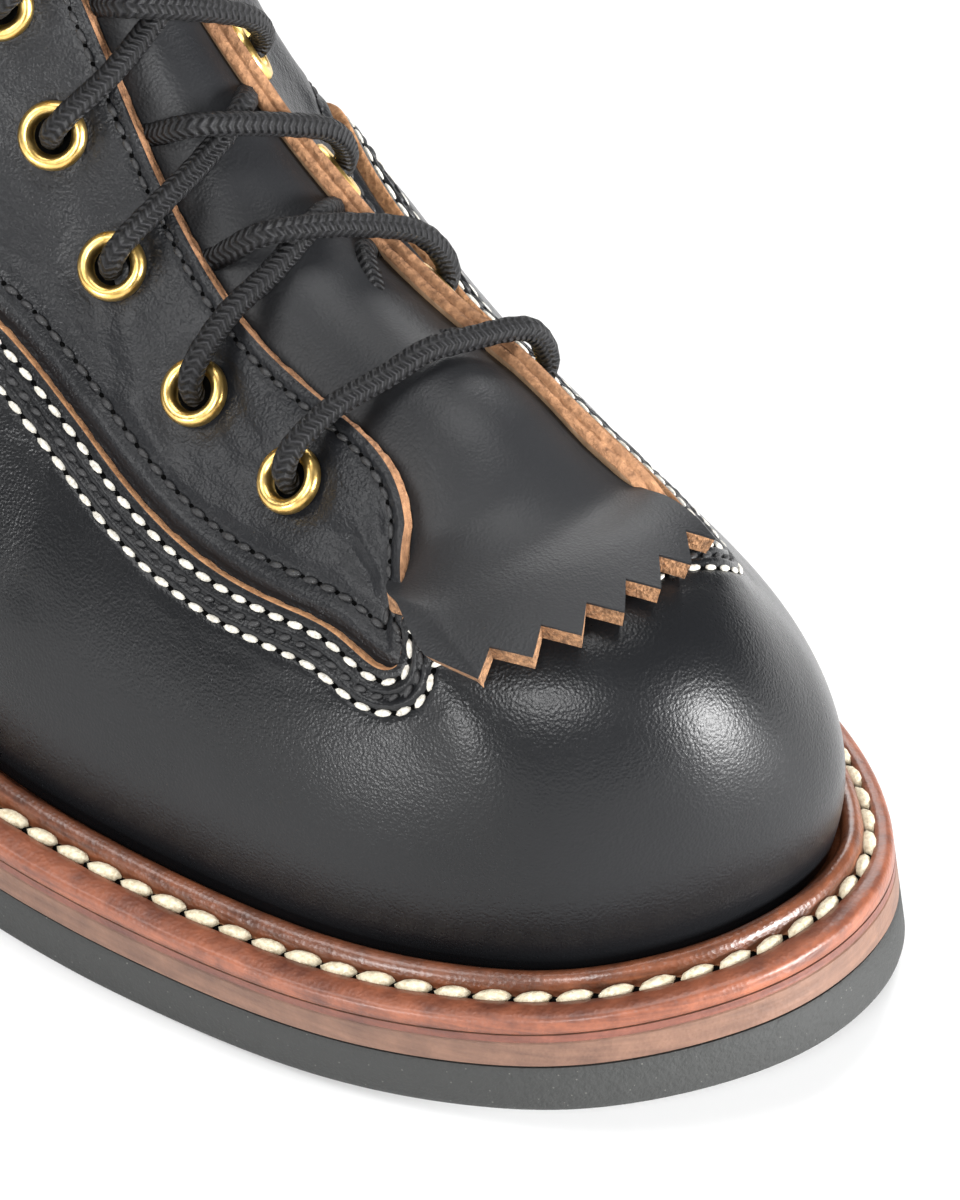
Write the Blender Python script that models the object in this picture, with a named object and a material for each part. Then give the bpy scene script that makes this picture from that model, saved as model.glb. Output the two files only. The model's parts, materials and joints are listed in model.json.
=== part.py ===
"""Logger boot for the right foot, laced to the toe, as separate pieces.

Frame: metres, +Z up, toe towards -Y, the boot's outer side towards -X.
The origin is on the flat tread under the ball of the foot.
"""
import math
from collections import namedtuple

import bmesh
import bpy
import numpy as np
from mathutils.bvhtree import BVHTree

# Main sizes of the sole
SOLE_LENGTH = 0.305
BALL_WIDTH = 0.115
OUTSOLE_THICKNESS = 0.008
MIDSOLE_THICKNESS = 0.0058
WELT_THICKNESS = 0.0024
TOE_SPRING = 0.009
HEEL_HEIGHT = 0.044
TOP_LIFT_THICKNESS = 0.009
HEEL_UNDERCUT = 0.004
TREAD_FRONT = 0.754
TOE_TURN = 0.45
TREAD_BALL = 0.689
TREAD_BACK = 0.615
SEAT_FRONT = 0.245
BREAST = 0.268

# Welt and insole
TOE_MARGIN = 0.0108
INNER_MARGIN = 0.0080
HEEL_MARGIN = 0.0045
WELT_TUCK = 0.005
BEAD_WIDTH = 0.0032
BEAD_HEIGHT = 0.0026
BEAD_OFFSET = 0.0012
INSOLE_THICKNESS = 0.0050

# Upper
SHAFT_HEIGHT = 0.252
SHAFT_WIDTH = 0.086
TOE_HEIGHT = 0.044
WALL = 0.0030
OVERLAY = 0.0018

# Tongue and kiltie
TONGUE_THICKNESS = 0.0020
TONGUE_TUCK = 0.011
TONGUE_ABOVE_COLLAR = 0.014
THROAT_CROWN = 0.16
KILTIE_THICKNESS = 0.0027
KILTIE_SINK = 0.0012
KILTIE_CLEARANCE = 0.0028
KILTIE_TOOTH = 0.0034
KILTIE_TEETH = 7

# Eyelets and lace
EYELET_RADIUS = 0.0048
EYELET_HOLE = 0.0026
EYELET_HEIGHT = 0.0013
EYELET_PITCH = 0.0186
EYELET_INSET = 0.0108
EYELET_START = 0.0035
EYELET_PAIRS = 11
LACE_RADIUS = 0.0017

# Clearance between pieces that touch
GAP = 0.0003
SOLE_STACK = OUTSOLE_THICKNESS + MIDSOLE_THICKNESS + WELT_THICKNESS
FEATHER_DEPTH = SOLE_STACK + 3 * GAP
LACE_LIFT = LACE_RADIUS + EYELET_HEIGHT + 5 * GAP
EYELET_SEAT = 0.0005
LACE_BOW = 1.2
CROSSING_LIFT = 2.6

# The heel's half width as a share of the ball width, and the bead's shoulders as
# shares of its width and height.
HEEL_HALF_WIDTH = 0.345
BEAD_SHOULDER = 0.15
BEAD_SHOULDER_HEIGHT = 0.8

# Places round the ring, counted in sections from the heel's back: where the wall's
# edge fan starts and how long it runs, the kiltie's and the throat's ends, and the
# tongue's top, with the room for its slope.
EDGE_REACH = 0.9
FAN_START = 3.2
FAN_RUN = 1.8
KILTIE_TOP = 7.6
THROAT_FOOT = 11.25
TONGUE_TOP = 5.75
TONGUE_SLOPE_ROOM = 1.45
TONGUE_TOP_ROWS = (1.0, 0.66, 0.33)

# A crossing of the lace: how far its facing's edge lies towards the next eyelet,
# and the places that it passes, as shares of the way up and of the way across.
CROSSING_EDGE = 0.22
CROSSING_PLACES = ((0.40, 0.32), (0.54, 0.50), (0.68, 0.66), (0.78, 0.76))

# How finely the curved pieces are divided
RING_COUNT = 78
COVER_ROWS = 6
PANEL_ROWS = 7
RUNGS = 40
TONGUE_ROWS = 6
KILTIE_ROWS = 13
LACE_SIDES = 6
LACE_POINTS = 9
EYELET_SIDES = 10

# One row for each section of the last, from the heel's back to the toe's tip.
# along is the share of the sole's length from the back; outer and inner are the
# sole's half widths there, as shares of the ball width.
Outline = namedtuple("Outline", "name along outer inner")
OUTLINE = [
    Outline("heel back", 0.000, -0.004, -0.004),
    Outline("heel round", 0.026, 0.200, 0.190),
    Outline("heel side", 0.108, 0.335, 0.322),
    Outline("heel front", 0.213, 0.345, 0.312),
    Outline("shank back", 0.305, 0.344, 0.275),
    Outline("shank", 0.397, 0.372, 0.268),
    Outline("waist", 0.492, 0.430, 0.330),
    Outline("outer ball", 0.600, 0.480, 0.440),
    Outline("inner ball", 0.698, 0.466, 0.510),
    Outline("toe base", 0.793, 0.394, 0.508),
    Outline("toe side", 0.875, 0.310, 0.475),
    Outline("toe round", 0.938, 0.205, 0.405),
    Outline("toe corner", 0.980, 0.075, 0.300),
    Outline("toe tip", 1.000, -0.122, 0.122),
]

# The upper's top edge at the same sections: collar, facings and throat end.
# along as above; centre is a share of the ball width, outer and inner are the
# half widths from it as shares of the shaft width, height is a share of the shaft
# height over the floor, and cover is how far up the wall the overlays reach.
TopEdge = namedtuple("TopEdge", "name along centre outer inner height cover")
TOP_EDGE = [
    TopEdge("collar back", 0.059, -0.010, 0.000, 0.000, 1.000, 0.300),
    TopEdge("collar back corner", 0.088, -0.010, 0.300, 0.300, 1.000, 0.290),
    TopEdge("collar side", 0.161, -0.015, 0.470, 0.470, 1.000, 0.235),
    TopEdge("collar", 0.252, -0.020, 0.505, 0.505, 0.998, 0.120),
    TopEdge("collar front", 0.334, -0.025, 0.400, 0.400, 0.995, 0.030),
    TopEdge("facing top", 0.397, -0.025, 0.205, 0.205, 0.975, 0.050),
    TopEdge("facing shin", 0.430, -0.020, 0.115, 0.115, 0.805, 0.230),
    TopEdge("facing bend", 0.488, -0.005, 0.090, 0.090, 0.583, 0.480),
    TopEdge("facing ankle", 0.574, 0.019, 0.106, 0.106, 0.430, 0.600),
    TopEdge("facing instep", 0.679, 0.048, 0.158, 0.158, 0.334, 0.590),
    TopEdge("facing vamp", 0.770, 0.074, 0.167, 0.160, 0.316, 0.610),
    TopEdge("facing end", 0.818, 0.084, 0.208, 0.175, 0.2960, 0.680),
    TopEdge("throat corner", 0.853, 0.092, 0.245, 0.200, 0.2640, 0.830),
    TopEdge("throat end", 0.870, 0.090, 0.000, 0.000, 0.2655, 0.880),
]

# How each rib of the wall leaves the welt and arrives at the top edge, in
# shares of the toe height: bulge and rise at the welt, out and drop at the top.
Rib = namedtuple("Rib", "name bulge rise out drop inner_bulge inner_out inner_drop")
RIBS = [
    Rib("heel back", 0.12, 1.00, -0.32, 1.90, 0.12, -0.32, 1.90),
    Rib("heel round", 0.12, 0.98, -0.24, 1.90, 0.12, -0.24, 1.90),
    Rib("heel side", 0.12, 1.00, -0.24, 1.80, 0.12, -0.24, 1.80),
    Rib("heel front", 0.14, 1.00, -0.14, 1.75, 0.14, -0.16, 1.75),
    Rib("shank back", 0.14, 0.95, 0.00, 1.75, 0.14, 0.00, 1.80),
    Rib("shank", 0.14, 1.00, 0.30, 2.10, 0.14, 0.28, 2.10),
    Rib("waist", 0.12, 0.90, 0.44, 1.40, 0.14, 0.40, 1.50),
    Rib("outer ball", 0.12, 0.76, 0.50, 0.95, 0.15, 0.42, 1.10),
    Rib("inner ball", 0.11, 0.70, 0.46, 0.55, 0.15, 0.28, 0.84),
    Rib("toe base", 0.11, 0.68, 0.40, 0.34, 0.17, 0.20, 0.60),
    Rib("toe side", 0.11, 0.68, 0.40, 0.30, 0.19, 0.14, 0.52),
    Rib("toe round", 0.11, 0.69, 0.32, 0.24, 0.19, 0.14, 0.42),
    Rib("toe corner", 0.10, 0.70, 0.26, 0.02, 0.17, 0.18, 0.20),
    Rib("toe tip", 0.08, 0.72, 0.43, -0.11, 0.08, 0.43, -0.11),
]

# The kiltie beyond the facings' ends, and the tongue's foot under the vamp: along
# as above, left and right as shares of the ball width, height over the floor and
# crown as shares of the shaft height, turn as the share of the sole's length by
# which the row's left end leads its right end.
Flap = namedtuple("Flap", "name along left right height crown turn")
FLAP = [
    Flap("between facing ends", 0.846, -0.070, 0.210, 0.274, 0.016, 0.004),
    Flap("over throat end", 0.868, -0.100, 0.240, 0.273, 0.016, 0.012),
    Flap("drape", 0.886, -0.126, 0.268, 0.263, 0.014, 0.024),
    Flap("pinked end", 0.902, -0.128, 0.270, 0.256, 0.014, 0.030),
]
TONGUE_FOOT = [
    Flap("between facing ends", 0.844, -0.112, 0.250, 0.254, 0.010, 0.010),
    Flap("under throat end", 0.864, -0.104, 0.246, 0.243, 0.010, 0.012),
    Flap("foot", 0.888, -0.090, 0.240, 0.239, 0.010, 0.012),
]

Eyelet = namedtuple("Eyelet", "edge centre normal")

SECTIONS = len(OUTLINE) - 1
RING = 2 * SECTIONS


def ring_spline(values):
    """Second derivatives of the closed smooth curve through the sections."""
    values = np.asarray(values, float)
    count = len(values)
    matrix = np.zeros((count, count))
    for i in range(count):
        matrix[i, i - 1] = 1.0
        matrix[i, i] = 4.0
        matrix[i, (i + 1) % count] = 1.0
    steps = np.roll(values, -1, axis=0) - 2.0 * values + np.roll(values, 1, axis=0)
    return values, np.linalg.solve(matrix, 6.0 * steps)


def on_ring(spline, u):
    """Value of a closed curve at u, counted in sections round the boot."""
    values, bends = spline
    count = len(values)
    u = np.mod(np.atleast_1d(np.asarray(u, float)), count)
    left = np.floor(u).astype(int) % count
    right = (left + 1) % count
    b = (u - np.floor(u))[:, None]
    a = 1.0 - b
    return (a * values[left] + b * values[right]
            + ((a ** 3 - a) * bends[left] + (b ** 3 - b) * bends[right]) / 6.0)


def around(outer, inner):
    """Order a table's outer and inner values round the boot."""
    return list(outer) + list(inner[-2:0:-1])


def y_at(along):
    return (TREAD_BALL - along) * SOLE_LENGTH


def smooth(x):
    x = np.clip(x, 0.0, 1.0)
    return x * x * (3.0 - 2.0 * x)


def tread_height(along):
    """Height of the outsole's underside, and of its line under the heel."""
    along = np.asarray(along, float)
    toe = TOE_SPRING * (np.clip(along - TREAD_FRONT, 0.0, 1.0) / (1.0 - TREAD_FRONT)) ** 2
    rise = smooth((TREAD_BACK - along) / (TREAD_BACK - SEAT_FRONT))
    return toe + (HEEL_HEIGHT - OUTSOLE_THICKNESS) * rise


def tread_slope(along):
    step = 1e-3
    return (tread_height(along + step) - tread_height(along - step)) / (2 * step * SOLE_LENGTH)


outline_spline = ring_spline(around(
    [(-row.outer * BALL_WIDTH, y_at(row.along)) for row in OUTLINE],
    [(row.inner * BALL_WIDTH, y_at(row.along)) for row in OUTLINE]))
top_spline = ring_spline(around(
    [(row.centre * BALL_WIDTH - row.outer * SHAFT_WIDTH, y_at(row.along), row.height * SHAFT_HEIGHT)
     for row in TOP_EDGE],
    [(row.centre * BALL_WIDTH + row.inner * SHAFT_WIDTH, y_at(row.along), row.height * SHAFT_HEIGHT)
     for row in TOP_EDGE]))
rib_spline = ring_spline(around(
    [(row.bulge * TOE_HEIGHT, row.rise * TOE_HEIGHT, row.out * TOE_HEIGHT, row.drop * TOE_HEIGHT)
     for row in RIBS],
    [(row.inner_bulge * TOE_HEIGHT, row.rise * TOE_HEIGHT, row.inner_out * TOE_HEIGHT,
      row.inner_drop * TOE_HEIGHT) for row in RIBS]))
cover_spline = ring_spline(around([(row.cover,) for row in TOP_EDGE],
                                  [(row.cover,) for row in TOP_EDGE]))


def outline(u):
    """Sole edge in plan and its outward direction."""
    point = on_ring(outline_spline, u)
    ahead = on_ring(outline_spline, np.asarray(u) + 0.01)
    back = on_ring(outline_spline, np.asarray(u) - 0.01)
    tangent = ahead - back
    tangent /= np.linalg.norm(tangent, axis=1)[:, None]
    return point, np.c_[tangent[:, 1], -tangent[:, 0]]


def margin(along, outward):
    """How far the welt stands out from the overlays' outer face."""
    front = TOE_MARGIN + (INNER_MARGIN - TOE_MARGIN) * smooth(outward[:, 0])
    return HEEL_MARGIN + (front - HEEL_MARGIN) * smooth((along - 0.25) / 0.25)


def along_of(y):
    return TREAD_BALL - y / SOLE_LENGTH


def sole_line(u, inset, depth):
    """Points on a line round the sole, inset from its edge, depth above the tread line.

    The edge is trimmed square to the tread, so a line further down stands
    further forward where the toe springs up.
    """
    point, outward = outline(u)
    along = along_of(point[:, 1])
    plan = point - outward * np.broadcast_to(inset, len(point))[:, None]
    along_in = along_of(plan[:, 1])
    level = tread_height(along_in)
    slope = tread_slope(along_in) * (along > TREAD_BALL)
    shift = slope * (SOLE_STACK - depth)
    return np.c_[plan[:, 0] + shift * TOE_TURN, plan[:, 1] - shift * (1.0 - TOE_TURN), level + depth]


def feather(u):
    """Foot of the upper's outer face, on the welt."""
    point, outward = outline(u)
    return sole_line(u, margin(along_of(point[:, 1]), outward) + OVERLAY, FEATHER_DEPTH), outward


def wall_point(u, v):
    """The upper's outer face: u round the boot, v from welt to top edge."""
    u = np.atleast_1d(np.asarray(u, float))
    v = np.broadcast_to(np.asarray(v, float), u.shape)[:, None]
    foot, outward = feather(u)
    outward = np.c_[outward, np.zeros(len(u))]
    top = on_ring(top_spline, u)
    handles = on_ring(rib_spline, u)
    up = np.array([0.0, 0.0, 1.0])
    turn = on_ring(top_spline, u + EDGE_REACH) - on_ring(top_spline, u - EDGE_REACH)
    turn /= np.linalg.norm(turn[:, :2], axis=1)[:, None]
    away = np.c_[turn[:, 1], -turn[:, 0], np.zeros(len(u))]
    fan = smooth((FAN_START - np.abs(np.mod(u, RING) - SECTIONS)) / FAN_RUN)[:, None]
    away += (outward - away) * fan
    low = foot + outward * handles[:, 0:1] + up * handles[:, 1:2]
    high = top + away * handles[:, 2:3] - up * handles[:, 3:4]
    w = 1.0 - v
    return w ** 3 * foot + 3 * w * w * v * low + 3 * w * v * v * high + v ** 3 * top


def wall_normal(u, v):
    u = np.atleast_1d(np.asarray(u, float))
    v = np.broadcast_to(np.asarray(v, float), u.shape)
    du = wall_point(u + 0.02, v) - wall_point(u - 0.02, v)
    dv = wall_point(u, np.minimum(v + 0.01, 1.0)) - wall_point(u, np.maximum(v - 0.01, 0.0))
    normal = np.cross(du, dv)
    return normal / np.maximum(np.linalg.norm(normal, axis=1), 1e-12)[:, None]


def wall_offset(u, v, lift):
    lift = np.broadcast_to(lift, np.shape(u))[:, None]
    return wall_point(u, v) + wall_normal(u, v) * lift


def cover_at(u):
    return np.clip(on_ring(cover_spline, u)[:, 0], 0.03, 0.97)


def rib_length(u):
    v = np.linspace(0.0, 1.0, 33)
    return np.array([np.linalg.norm(np.diff(wall_point(np.full(33, x), v), axis=0), axis=1).sum()
                     for x in np.atleast_1d(u)])


def make_object(name, verts, faces, material):
    mesh = bpy.data.meshes.new(name)
    mesh.from_pydata([tuple(map(float, v)) for v in verts], [], [tuple(map(int, f)) for f in faces])
    mesh.update()
    body = bmesh.new()
    body.from_mesh(mesh)
    bmesh.ops.remove_doubles(body, verts=body.verts, dist=1e-6)
    bmesh.ops.recalc_face_normals(body, faces=body.faces)
    if body.calc_volume(signed=True) < 0:
        bmesh.ops.reverse_faces(body, faces=body.faces)
    body.to_mesh(mesh)
    body.free()
    mesh.shade_smooth()
    mesh.set_sharp_from_angle(angle=math.radians(40))
    mesh.materials.append(material)
    thing = bpy.data.objects.new(name, mesh)
    bpy.context.collection.objects.link(thing)
    return thing


def make_material(name, colour, roughness, metallic=0.0):
    material = bpy.data.materials.new(name)
    material.use_nodes = True
    shader = material.node_tree.nodes["Principled BSDF"]
    shader.inputs["Base Color"].default_value = (*colour, 1.0)
    shader.inputs["Roughness"].default_value = roughness
    shader.inputs["Metallic"].default_value = metallic
    return material


def closed_rings(rings):
    """Faces of a solid made of closed rings, the last joined to the first."""
    count = len(rings[0])
    faces = []
    for r in range(len(rings)):
        s = (r + 1) % len(rings)
        for i in range(count):
            j = (i + 1) % count
            faces.append((r * count + i, r * count + j, s * count + j, s * count + i))
    return np.vstack(rings), faces


def build_upper(material):
    u = np.linspace(0.0, RING, RING_COUNT, endpoint=False)
    cover = cover_at(u)
    covered = np.linspace(0.0, 1.0, COVER_ROWS)
    panel = np.linspace(0.0, 1.0, PANEL_ROWS)
    rings = [wall_offset(u, cover * share, OVERLAY) for share in covered]
    rings += [wall_offset(u, cover + (1.0 - cover) * share, 0.0) for share in panel]
    rings += [wall_offset(u, cover + (1.0 - cover) * share, -WALL) for share in panel[::-1]]
    rings += [wall_offset(u, cover * share, -WALL) for share in covered[-2::-1]]
    level = feather(u)[0][:, 2]
    rings[0][:, 2] = level
    rings[-1][:, 2] = level
    verts, faces = closed_rings(rings)
    return make_object("upper", verts, faces, material)


def ladder(name, outer, inner, material):
    """A solid with rungs from its outer to its inner edge; each edge is a stack of lines."""
    verts = np.vstack(outer + inner)
    n = len(outer[0])
    rows = len(outer)
    faces = []

    def out(r, i):
        return r * n + i

    def inn(r, i):
        return (rows + r) * n + i

    last = rows - 1
    for i in range(n - 1):
        faces.append((out(0, i), out(0, i + 1), inn(0, i + 1), inn(0, i)))
        faces.append((out(last, i), inn(last, i), inn(last, i + 1), out(last, i + 1)))
        for r in range(last):
            faces.append((out(r, i), out(r + 1, i), out(r + 1, i + 1), out(r, i + 1)))
            faces.append((inn(r, i), inn(r, i + 1), inn(r + 1, i + 1), inn(r + 1, i)))
    for i in (0, n - 1):
        for r in range(last):
            faces.append((out(r, i), inn(r, i), inn(r + 1, i), out(r + 1, i)))
    return make_object(name, verts, faces, material)


def sole_layer(name, stations, lines, material):
    """A layer of the sole between the given sections; lines are (inset, depth) down its edge."""
    outer = [sole_line(stations, inset, depth) for inset, depth in lines]
    inner = [sole_line(RING - stations, inset, depth) for inset, depth in lines]
    return ladder(name, outer, inner, material)


def section_at(along):
    """Section number of the outer edge at a share of the length."""
    u = np.linspace(0.0, SECTIONS, 2001)
    return float(np.interp(along, along_of(outline(u)[0][:, 1]), u))


def build_midsole(material):
    top = SOLE_STACK - WELT_THICKNESS - GAP
    u = np.linspace(0.0, SECTIONS, RUNGS + 1)
    return sole_layer("midsole", u, [(0.0, top), (0.0, OUTSOLE_THICKNESS)], material)


def build_outsole(material):
    """The rubber sole from the toe to the heel's breast, with its flat tread."""
    u = np.linspace(section_at(BREAST), SECTIONS, RUNGS - 8)
    flat = np.array([section_at(TREAD_BACK), section_at(TREAD_FRONT)])
    u = np.unique(np.concatenate([u, flat]))
    return sole_layer("outsole", u, [(0.0, OUTSOLE_THICKNESS - GAP), (0.0, 0.0)], material)


def heel_line(u, share, height):
    """A line round the heel block; share runs from its top to the floor."""
    top = sole_line(u, 0.0, OUTSOLE_THICKNESS)
    middle = y_at(BREAST * 0.5)
    line = top.copy()
    line[:, 0] *= 1.0 - HEEL_UNDERCUT / (HEEL_HALF_WIDTH * BALL_WIDTH) * share
    line[:, 1] = middle + (top[:, 1] - middle) * (1.0 - HEEL_UNDERCUT / (BREAST * SOLE_LENGTH) * share)
    line[:, 2] = top[:, 2] - GAP if height is None else height
    return line


def build_heel_piece(name, top_height, bottom_height, material):
    u = np.linspace(0.0, section_at(BREAST) - 0.02, RUNGS // 3)
    lines = []
    for height in (top_height, bottom_height):
        share = 0.0 if height is None else 1.0 - height / HEEL_HEIGHT
        lines.append([heel_line(side, share, height) for side in (u, RING - u)])
    return ladder(name, [pair[0] for pair in lines], [pair[1] for pair in lines], material)


def build_welt(material):
    """The stitched strip with its rounded bead beside the upper."""
    u = np.linspace(0.0, RING, RING_COUNT, endpoint=False)
    point, outward = outline(u)
    edge = margin(along_of(point[:, 1]), outward)
    low = SOLE_STACK - WELT_THICKNESS
    bead = edge - BEAD_OFFSET
    profile = [
        (edge + WELT_TUCK, low), (edge + WELT_TUCK, SOLE_STACK),
        (bead, SOLE_STACK),
        (bead - BEAD_SHOULDER * BEAD_WIDTH, SOLE_STACK + BEAD_SHOULDER_HEIGHT * BEAD_HEIGHT),
        (bead - 0.5 * BEAD_WIDTH, SOLE_STACK + BEAD_HEIGHT),
        (bead - (1.0 - BEAD_SHOULDER) * BEAD_WIDTH, SOLE_STACK + BEAD_SHOULDER_HEIGHT * BEAD_HEIGHT),
        (0.0, SOLE_STACK), (0.0, low),
    ]
    rings = [sole_line(u, inset, depth) for inset, depth in profile]
    verts, faces = closed_rings(rings)
    return make_object("welt", verts, faces, material)


def build_insole(material):
    u = np.linspace(0.0, SECTIONS, RUNGS + 1)
    low = SOLE_STACK - WELT_THICKNESS
    high = low + INSOLE_THICKNESS
    sides = []
    for side in (u, RING - u):
        point, outward = outline(side)
        inset = margin(along_of(point[:, 1]), outward) + WELT_TUCK + GAP
        sides.append([sole_line(side, inset, high), sole_line(side, inset, low)])
    return ladder("insole", sides[0], sides[1], material)


def underside(top, thickness):
    """The grid of points thickness below a grid of top points, square to it."""
    normal = np.cross(np.gradient(top, axis=0), np.gradient(top, axis=1))
    normal /= np.linalg.norm(normal, axis=2)[:, :, None]
    normal *= np.sign(normal[:, top.shape[1] // 2, 2].mean())
    return top - normal * thickness


def sheet(name, top, bottom, material):
    """A closed sheet between two grids of points."""
    rows, cols = top.shape[:2]
    verts = np.vstack([top.reshape(-1, 3), bottom.reshape(-1, 3)])
    size = rows * cols
    faces = []
    for i in range(rows - 1):
        for j in range(cols - 1):
            a, b, c, d = i * cols + j, i * cols + j + 1, (i + 1) * cols + j + 1, (i + 1) * cols + j
            faces.append((a, b, c, d))
            faces.append((size + a, size + d, size + c, size + b))
    rim = list(range(cols))
    rim += [i * cols + cols - 1 for i in range(1, rows)]
    rim += [(rows - 1) * cols + j for j in range(cols - 2, -1, -1)]
    rim += [i * cols for i in range(rows - 2, 0, -1)]
    for k, a in enumerate(rim):
        b = rim[(k + 1) % len(rim)]
        faces.append((b, a, size + a, size + b))
    return make_object(name, verts, faces, material)


def throat_frame(u, depth, clearance):
    """Both ends of a line over the throat, depth under the facings, and its up direction."""
    left = wall_offset([u], [1.0], -depth)[0]
    right = wall_offset([RING - u], [1.0], -depth)[0]
    across = right - left
    across /= np.linalg.norm(across)
    ahead = (wall_point([u + 0.1], [1.0]) + wall_point([RING - u - 0.1], [1.0])
             - wall_point([u - 0.1], [1.0]) - wall_point([RING - u + 0.1], [1.0]))[0]
    up = np.cross(across, ahead / np.linalg.norm(ahead))
    up *= -1.0 if up[2] < 0 else 1.0
    return left + across * clearance, right - across * clearance, up / np.linalg.norm(up)


def throat_arc(u, clearance, lower, count):
    """A crowned line over the throat from facing to facing, lower than the kiltie's top."""
    left, right, up = throat_frame(u, KILTIE_SINK, clearance)
    crown = THROAT_CROWN * np.linalg.norm(right - left)
    w = np.linspace(0.0, 1.0, count)[:, None]
    return left * (1 - w) + right * w + up * (crown * 4 * w * (1 - w) - lower)


def tree_of(thing):
    mesh = thing.data
    return BVHTree.FromPolygons([v.co for v in mesh.vertices], [p.vertices for p in mesh.polygons])


def move_clear(grid, first, thickness, sign, things):
    """Move a sheet's rows from first on, up or down, until it is clear of other pieces."""
    trees = [tree_of(thing) for thing in things]
    start = 2 * SHAFT_HEIGHT if sign > 0 else HEEL_HEIGHT
    shares = [(a, b) for a in (0.0, 0.5, 1.0) for b in (0.0, 0.5, 1.0)]
    for _ in range(5):
        face = underside(grid, thickness) if sign > 0 else grid.copy()
        move = np.zeros(grid.shape[:2])
        for row in range(first, len(grid) - 1):
            for col in range(grid.shape[1] - 1):
                a, b, c, d = face[row, col], face[row, col + 1], face[row + 1, col], face[row + 1, col + 1]
                short = 0.0
                for s, t in shares:
                    x, y, z = (a * (1 - t) + b * t) * (1 - s) + (c * (1 - t) + d * t) * s
                    for tree in trees:
                        hit = tree.ray_cast((x, y, start), (0.0, 0.0, -sign))[0]
                        if hit is not None:
                            short = max(short, (hit[2] - z) * sign + 2 * GAP)
                move[row:row + 2, col:col + 2] = np.maximum(move[row:row + 2, col:col + 2], short)
        grid[:, :, 2] += sign * move
    return grid


def throat_stations():
    """Sections at which the throat is crossed: above the kiltie, then beside it."""
    above = np.linspace(TONGUE_TOP, KILTIE_TOP, TONGUE_ROWS, endpoint=False)
    return above, np.linspace(KILTIE_TOP, THROAT_FOOT, KILTIE_ROWS)


def flap_line(row, count):
    """A crowned line across the boot from one row of a flap's table."""
    w = np.linspace(0.0, 1.0, count)
    line = np.zeros((count, 3))
    line[:, 0] = (row.left + (row.right - row.left) * w) * BALL_WIDTH
    line[:, 1] = y_at(row.along - row.turn * (w - 0.5))
    line[:, 2] = (row.height + row.crown * (4 * w * (1 - w) - 0.4)) * SHAFT_HEIGHT
    return line


def build_tongue(upper, material):
    """The tongue under both facings, from under the vamp's end to above the collar."""
    depth = KILTIE_SINK + TONGUE_SLOPE_ROOM * (KILTIE_THICKNESS + 3 * GAP)
    above, beside = throat_stations()
    rows = []
    for u in np.concatenate([above, beside]):
        tuck = TONGUE_TUCK / rib_length([u])[0]
        left = wall_offset(np.full(2, u), np.array([1.0 - tuck, 1.0 - 0.5 * tuck]), -depth)
        tuck = TONGUE_TUCK / rib_length([RING - u])[0]
        right = wall_offset(np.full(2, RING - u), np.array([1.0 - 0.5 * tuck, 1.0 - tuck]), -depth)
        arc = throat_arc(u, KILTIE_CLEARANCE, KILTIE_THICKNESS + 3 * GAP, 7)
        rows.append(np.vstack([left, arc, right]))
    rows += [flap_line(row, len(rows[0])) for row in TONGUE_FOOT]
    top = np.array(rows)
    middle = top[0].mean(axis=0)
    rise = top[0].mean(axis=0) - top[2].mean(axis=0)
    rise /= np.linalg.norm(rise)
    reach = (SHAFT_HEIGHT + TONGUE_ABOVE_COLLAR - middle[2]) / rise[2]
    extra = [top[0] + rise * reach * share for share in TONGUE_TOP_ROWS]
    top = np.concatenate([np.array(extra), top])
    top = move_clear(top, len(top) - len(TONGUE_FOOT) - 1, TONGUE_THICKNESS, -1, [upper])
    return sheet("tongue", top, underside(top, TONGUE_THICKNESS), material)


def build_kiltie(under, material):
    """The flap over the tongue, out between the facings and over the vamp."""
    count = 2 * KILTIE_TEETH + 1
    rows = [throat_arc(u, KILTIE_CLEARANCE, 0.0, count) for u in throat_stations()[1]]
    flap = [flap_line(row, count) for row in FLAP]
    top = np.array(rows + [0.5 * (rows[-1] + flap[0])] + flap)
    top[-1, :, 1] += KILTIE_TOOTH * (np.arange(count) % 2 - 0.5)
    top = move_clear(top, KILTIE_ROWS - 2, KILTIE_THICKNESS, 1, under)
    return sheet("kiltie", top, underside(top, KILTIE_THICKNESS), material)


def beside_edge(u, inset):
    """Section and share up the wall at a distance square to the facing's edge at u."""
    start = wall_point([u], [1.0])[0]
    ahead = (wall_point([u + 0.05], [1.0]) - wall_point([u - 0.05], [1.0]))[0]
    ahead /= np.linalg.norm(ahead)
    best = (u, 0.85)
    for reach in (1.0, 0.2, 0.04, 0.01):
        sides = best[0] + np.linspace(-reach, reach, 21)
        shares = np.clip(best[1] + 0.15 * np.linspace(-reach, reach, 21), 0.0, 1.0)
        side, share = [grid.ravel() for grid in np.meshgrid(sides, shares)]
        away = wall_point(side, share) - start
        miss = (away @ ahead) ** 2 + (np.linalg.norm(away, axis=1) - inset) ** 2
        index = int(np.argmin(miss))
        best = (float(side[index]), float(share[index]))
    return best


def eyelet_places():
    """Each pair's eyelets, from the toe up, with the section of the edge beside them."""
    facing = np.linspace(10.0, TONGUE_TOP - 0.3, 400)
    edge = wall_point(facing, 1.0)
    run = np.concatenate([[0.0], np.cumsum(np.linalg.norm(np.diff(edge, axis=0), axis=1))])
    places = []
    for k in range(EYELET_PAIRS):
        u = float(np.interp(EYELET_START + k * EYELET_PITCH, run, facing))
        pair = []
        for edge_u in (u, RING - u):
            side, share = beside_edge(edge_u, EYELET_INSET)
            pair.append(Eyelet(edge_u, wall_point([side], [share])[0],
                               wall_normal([side], [share])[0]))
        places.append(pair)
    return places


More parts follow.
